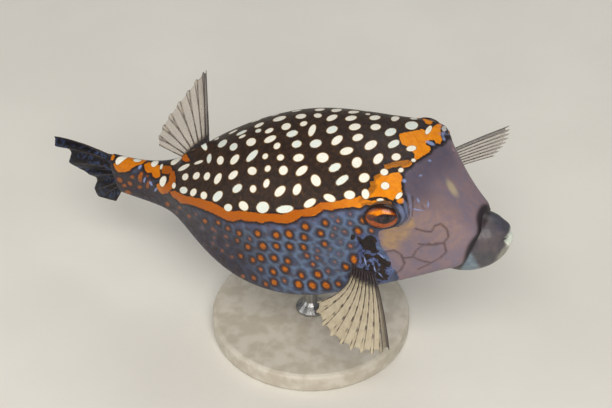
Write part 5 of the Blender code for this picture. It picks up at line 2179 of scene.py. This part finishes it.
    def _rays(self, tree: NodeTree) -> Object:
        """The rays, each forked in two, as jointed rods by Geometry Nodes."""
        look, paths, widths, darks = self.look, [], [], []
        fork = look.branch_at - self.fork_overlap
        spans = ((0.0, look.branch_at, 0.0), (fork, self.ray_end, 1.0),
                 (fork, self.ray_end, -1.0))
        for ray in range(len(self.tips)):
            for start, end, way in spans:
                along = np.linspace(start, end, self.ray_steps)
                place = np.clip(ray + way * self._fork(along), 0, len(self.tips) - 1)
                paths.append(self.at(place, along))
                width = look.ray_root_mm + (look.ray_tip_mm - look.ray_root_mm) * along
                widths.append(width * (self.branch_width if way else 1.0) * MM)
                dark = np.maximum(self._root(self.root_of_rays, along), self._edge(place))
                wave = 0.5 + 0.5 * np.sin(along * self.band_waves + self.ray_phase * ray)
                dark += self.band_dark * smooth(*self.band_from, wave)
                darks.append(np.clip(dark, look.dark_rays, 1))
        line = edge_object(self.plan.name + "_rays", paths, {"width": widths, "ray_dark": darks})
        return run_tree(line, tree, {
            "Joint Length": self.joint_mm * MM, "Joint Depth": self.joint_depth,
            "Sides": self.ray_sides, "Seed": self.ray_seed, "Material": WARDROBE.get(FIN_RAY)})

    def build(self, tree: NodeTree) -> None:
        """Makes the membrane and its rays."""
        settle(self._membrane(), self.plan.slot, self.plan.name)
        settle(self._rays(tree), self.plan.slot)


class Fins:
    """The five fins of the fish."""

    def __init__(self) -> None:
        """Lays out every fin's rays."""
        self.all = [Fin(plan) for plan in FIN_PLANS]

    def mounds(self) -> list[Array]:
        """The root lines that the skin rises to meet."""
        return [fin.roots for fin in self.all if fin.plan.name != "tail_fin"]

    def build(self) -> None:
        """Makes every fin."""
        tree = fin_ray_tree()
        for fin in self.all:
            fin.build(tree)


class Stand:
    """The CAD part's own stand, in stone and steel."""

    finishes = {"stand_base": HONED_LIMESTONE, "stand_rod": BRUSHED_STEEL}

    def dress(self, nodes: dict[str, Object]) -> None:
        """Gives the stand's CAD nodes their materials."""
        for name, finish in self.finishes.items():
            for slot in nodes[name].material_slots:
                slot.material = WARDROBE.get(finish)
            LOG.info("%s: in %s", name, finish.name)


@dataclass(frozen=True)
class Softbox:
    """A soft studio light.

    Attributes:
        name: of the light.
        azimuth_deg, elevation_deg: where it stands, as seen from the fish; 0 is towards -Y.
        distance_m: from the fish.
        size_m: of its square face.
        power_w: of the light.
        tint: sRGB hex.
    """

    name: str
    azimuth_deg: float
    elevation_deg: float
    distance_m: float
    size_m: float
    power_w: float
    tint: str = "#ffffff"

    def build(self) -> None:
        """Makes the light, facing the fish."""
        data = bpy.data.lights.new(self.name, "AREA")
        data.shape, data.size, data.energy = "SQUARE", self.size_m, self.power_w
        data.color = linear(self.tint)[:3]
        aim(linked(self.name, data), look_axes(self.azimuth_deg, self.elevation_deg),
            self.distance_m)


class Studio:
    """Floor, lights and camera."""

    softboxes = (
        Softbox("key_softbox", 24.0, 44.0, 0.9, 0.6, 8.0, "#fffaf2"),
        Softbox("fill_softbox", -60.0, 30.0, 1.1, 0.8, 2.6, "#fbf9f4"),
        Softbox("back_softbox", 170.0, 50.0, 1.0, 0.6, 2.0),
    )
    floor_radius_m, floor_sides = 3.0, 96
    world_tint, world_strength = "#f3f2ef", 0.17

    def build(self) -> None:
        """Makes the whole studio."""
        turn = np.linspace(0, 2 * math.pi, self.floor_sides, endpoint=False)
        ring = np.stack([np.cos(turn), np.sin(turn), 0 * turn], 1) * self.floor_radius_m
        mesh = bpy.data.meshes.new("floor")
        mesh.from_pydata(ring.tolist(), [], [list(range(self.floor_sides))])
        mesh.materials.append(WARDROBE.get(SEAMLESS_PAPER))
        floor = linked("floor", mesh)
        world = bpy.data.worlds.new("studio_air")
        world.use_nodes = True
        sky = world.node_tree.nodes["Background"]
        sky.inputs["Color"].default_value = linear(self.world_tint)
        sky.inputs["Strength"].default_value = self.world_strength
        bpy.context.scene.world = world
        bpy.context.scene.view_settings.view_transform = "Standard"
        for softbox in self.softboxes:
            softbox.build()
        CAMERA.build()


def clear_startup() -> None:
    """Removes what Blender's startup scene holds."""
    for old in list(bpy.data.objects):
        bpy.data.objects.remove(old, do_unlink=True)


def main() -> None:
    """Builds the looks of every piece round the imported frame."""
    logging.basicConfig(level=logging.INFO, format="%(name)s: %(message)s")
    clear_startup()
    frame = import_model()
    fins = Fins()
    Skin(SKIN, MARKINGS, fins.mounds()).build()
    Eyes().build()
    Mouth(MOUTH).build()
    fins.build()
    Stand().dress(frame["nodes"])
    Studio().build()


if __name__ == "__main__":
    main()
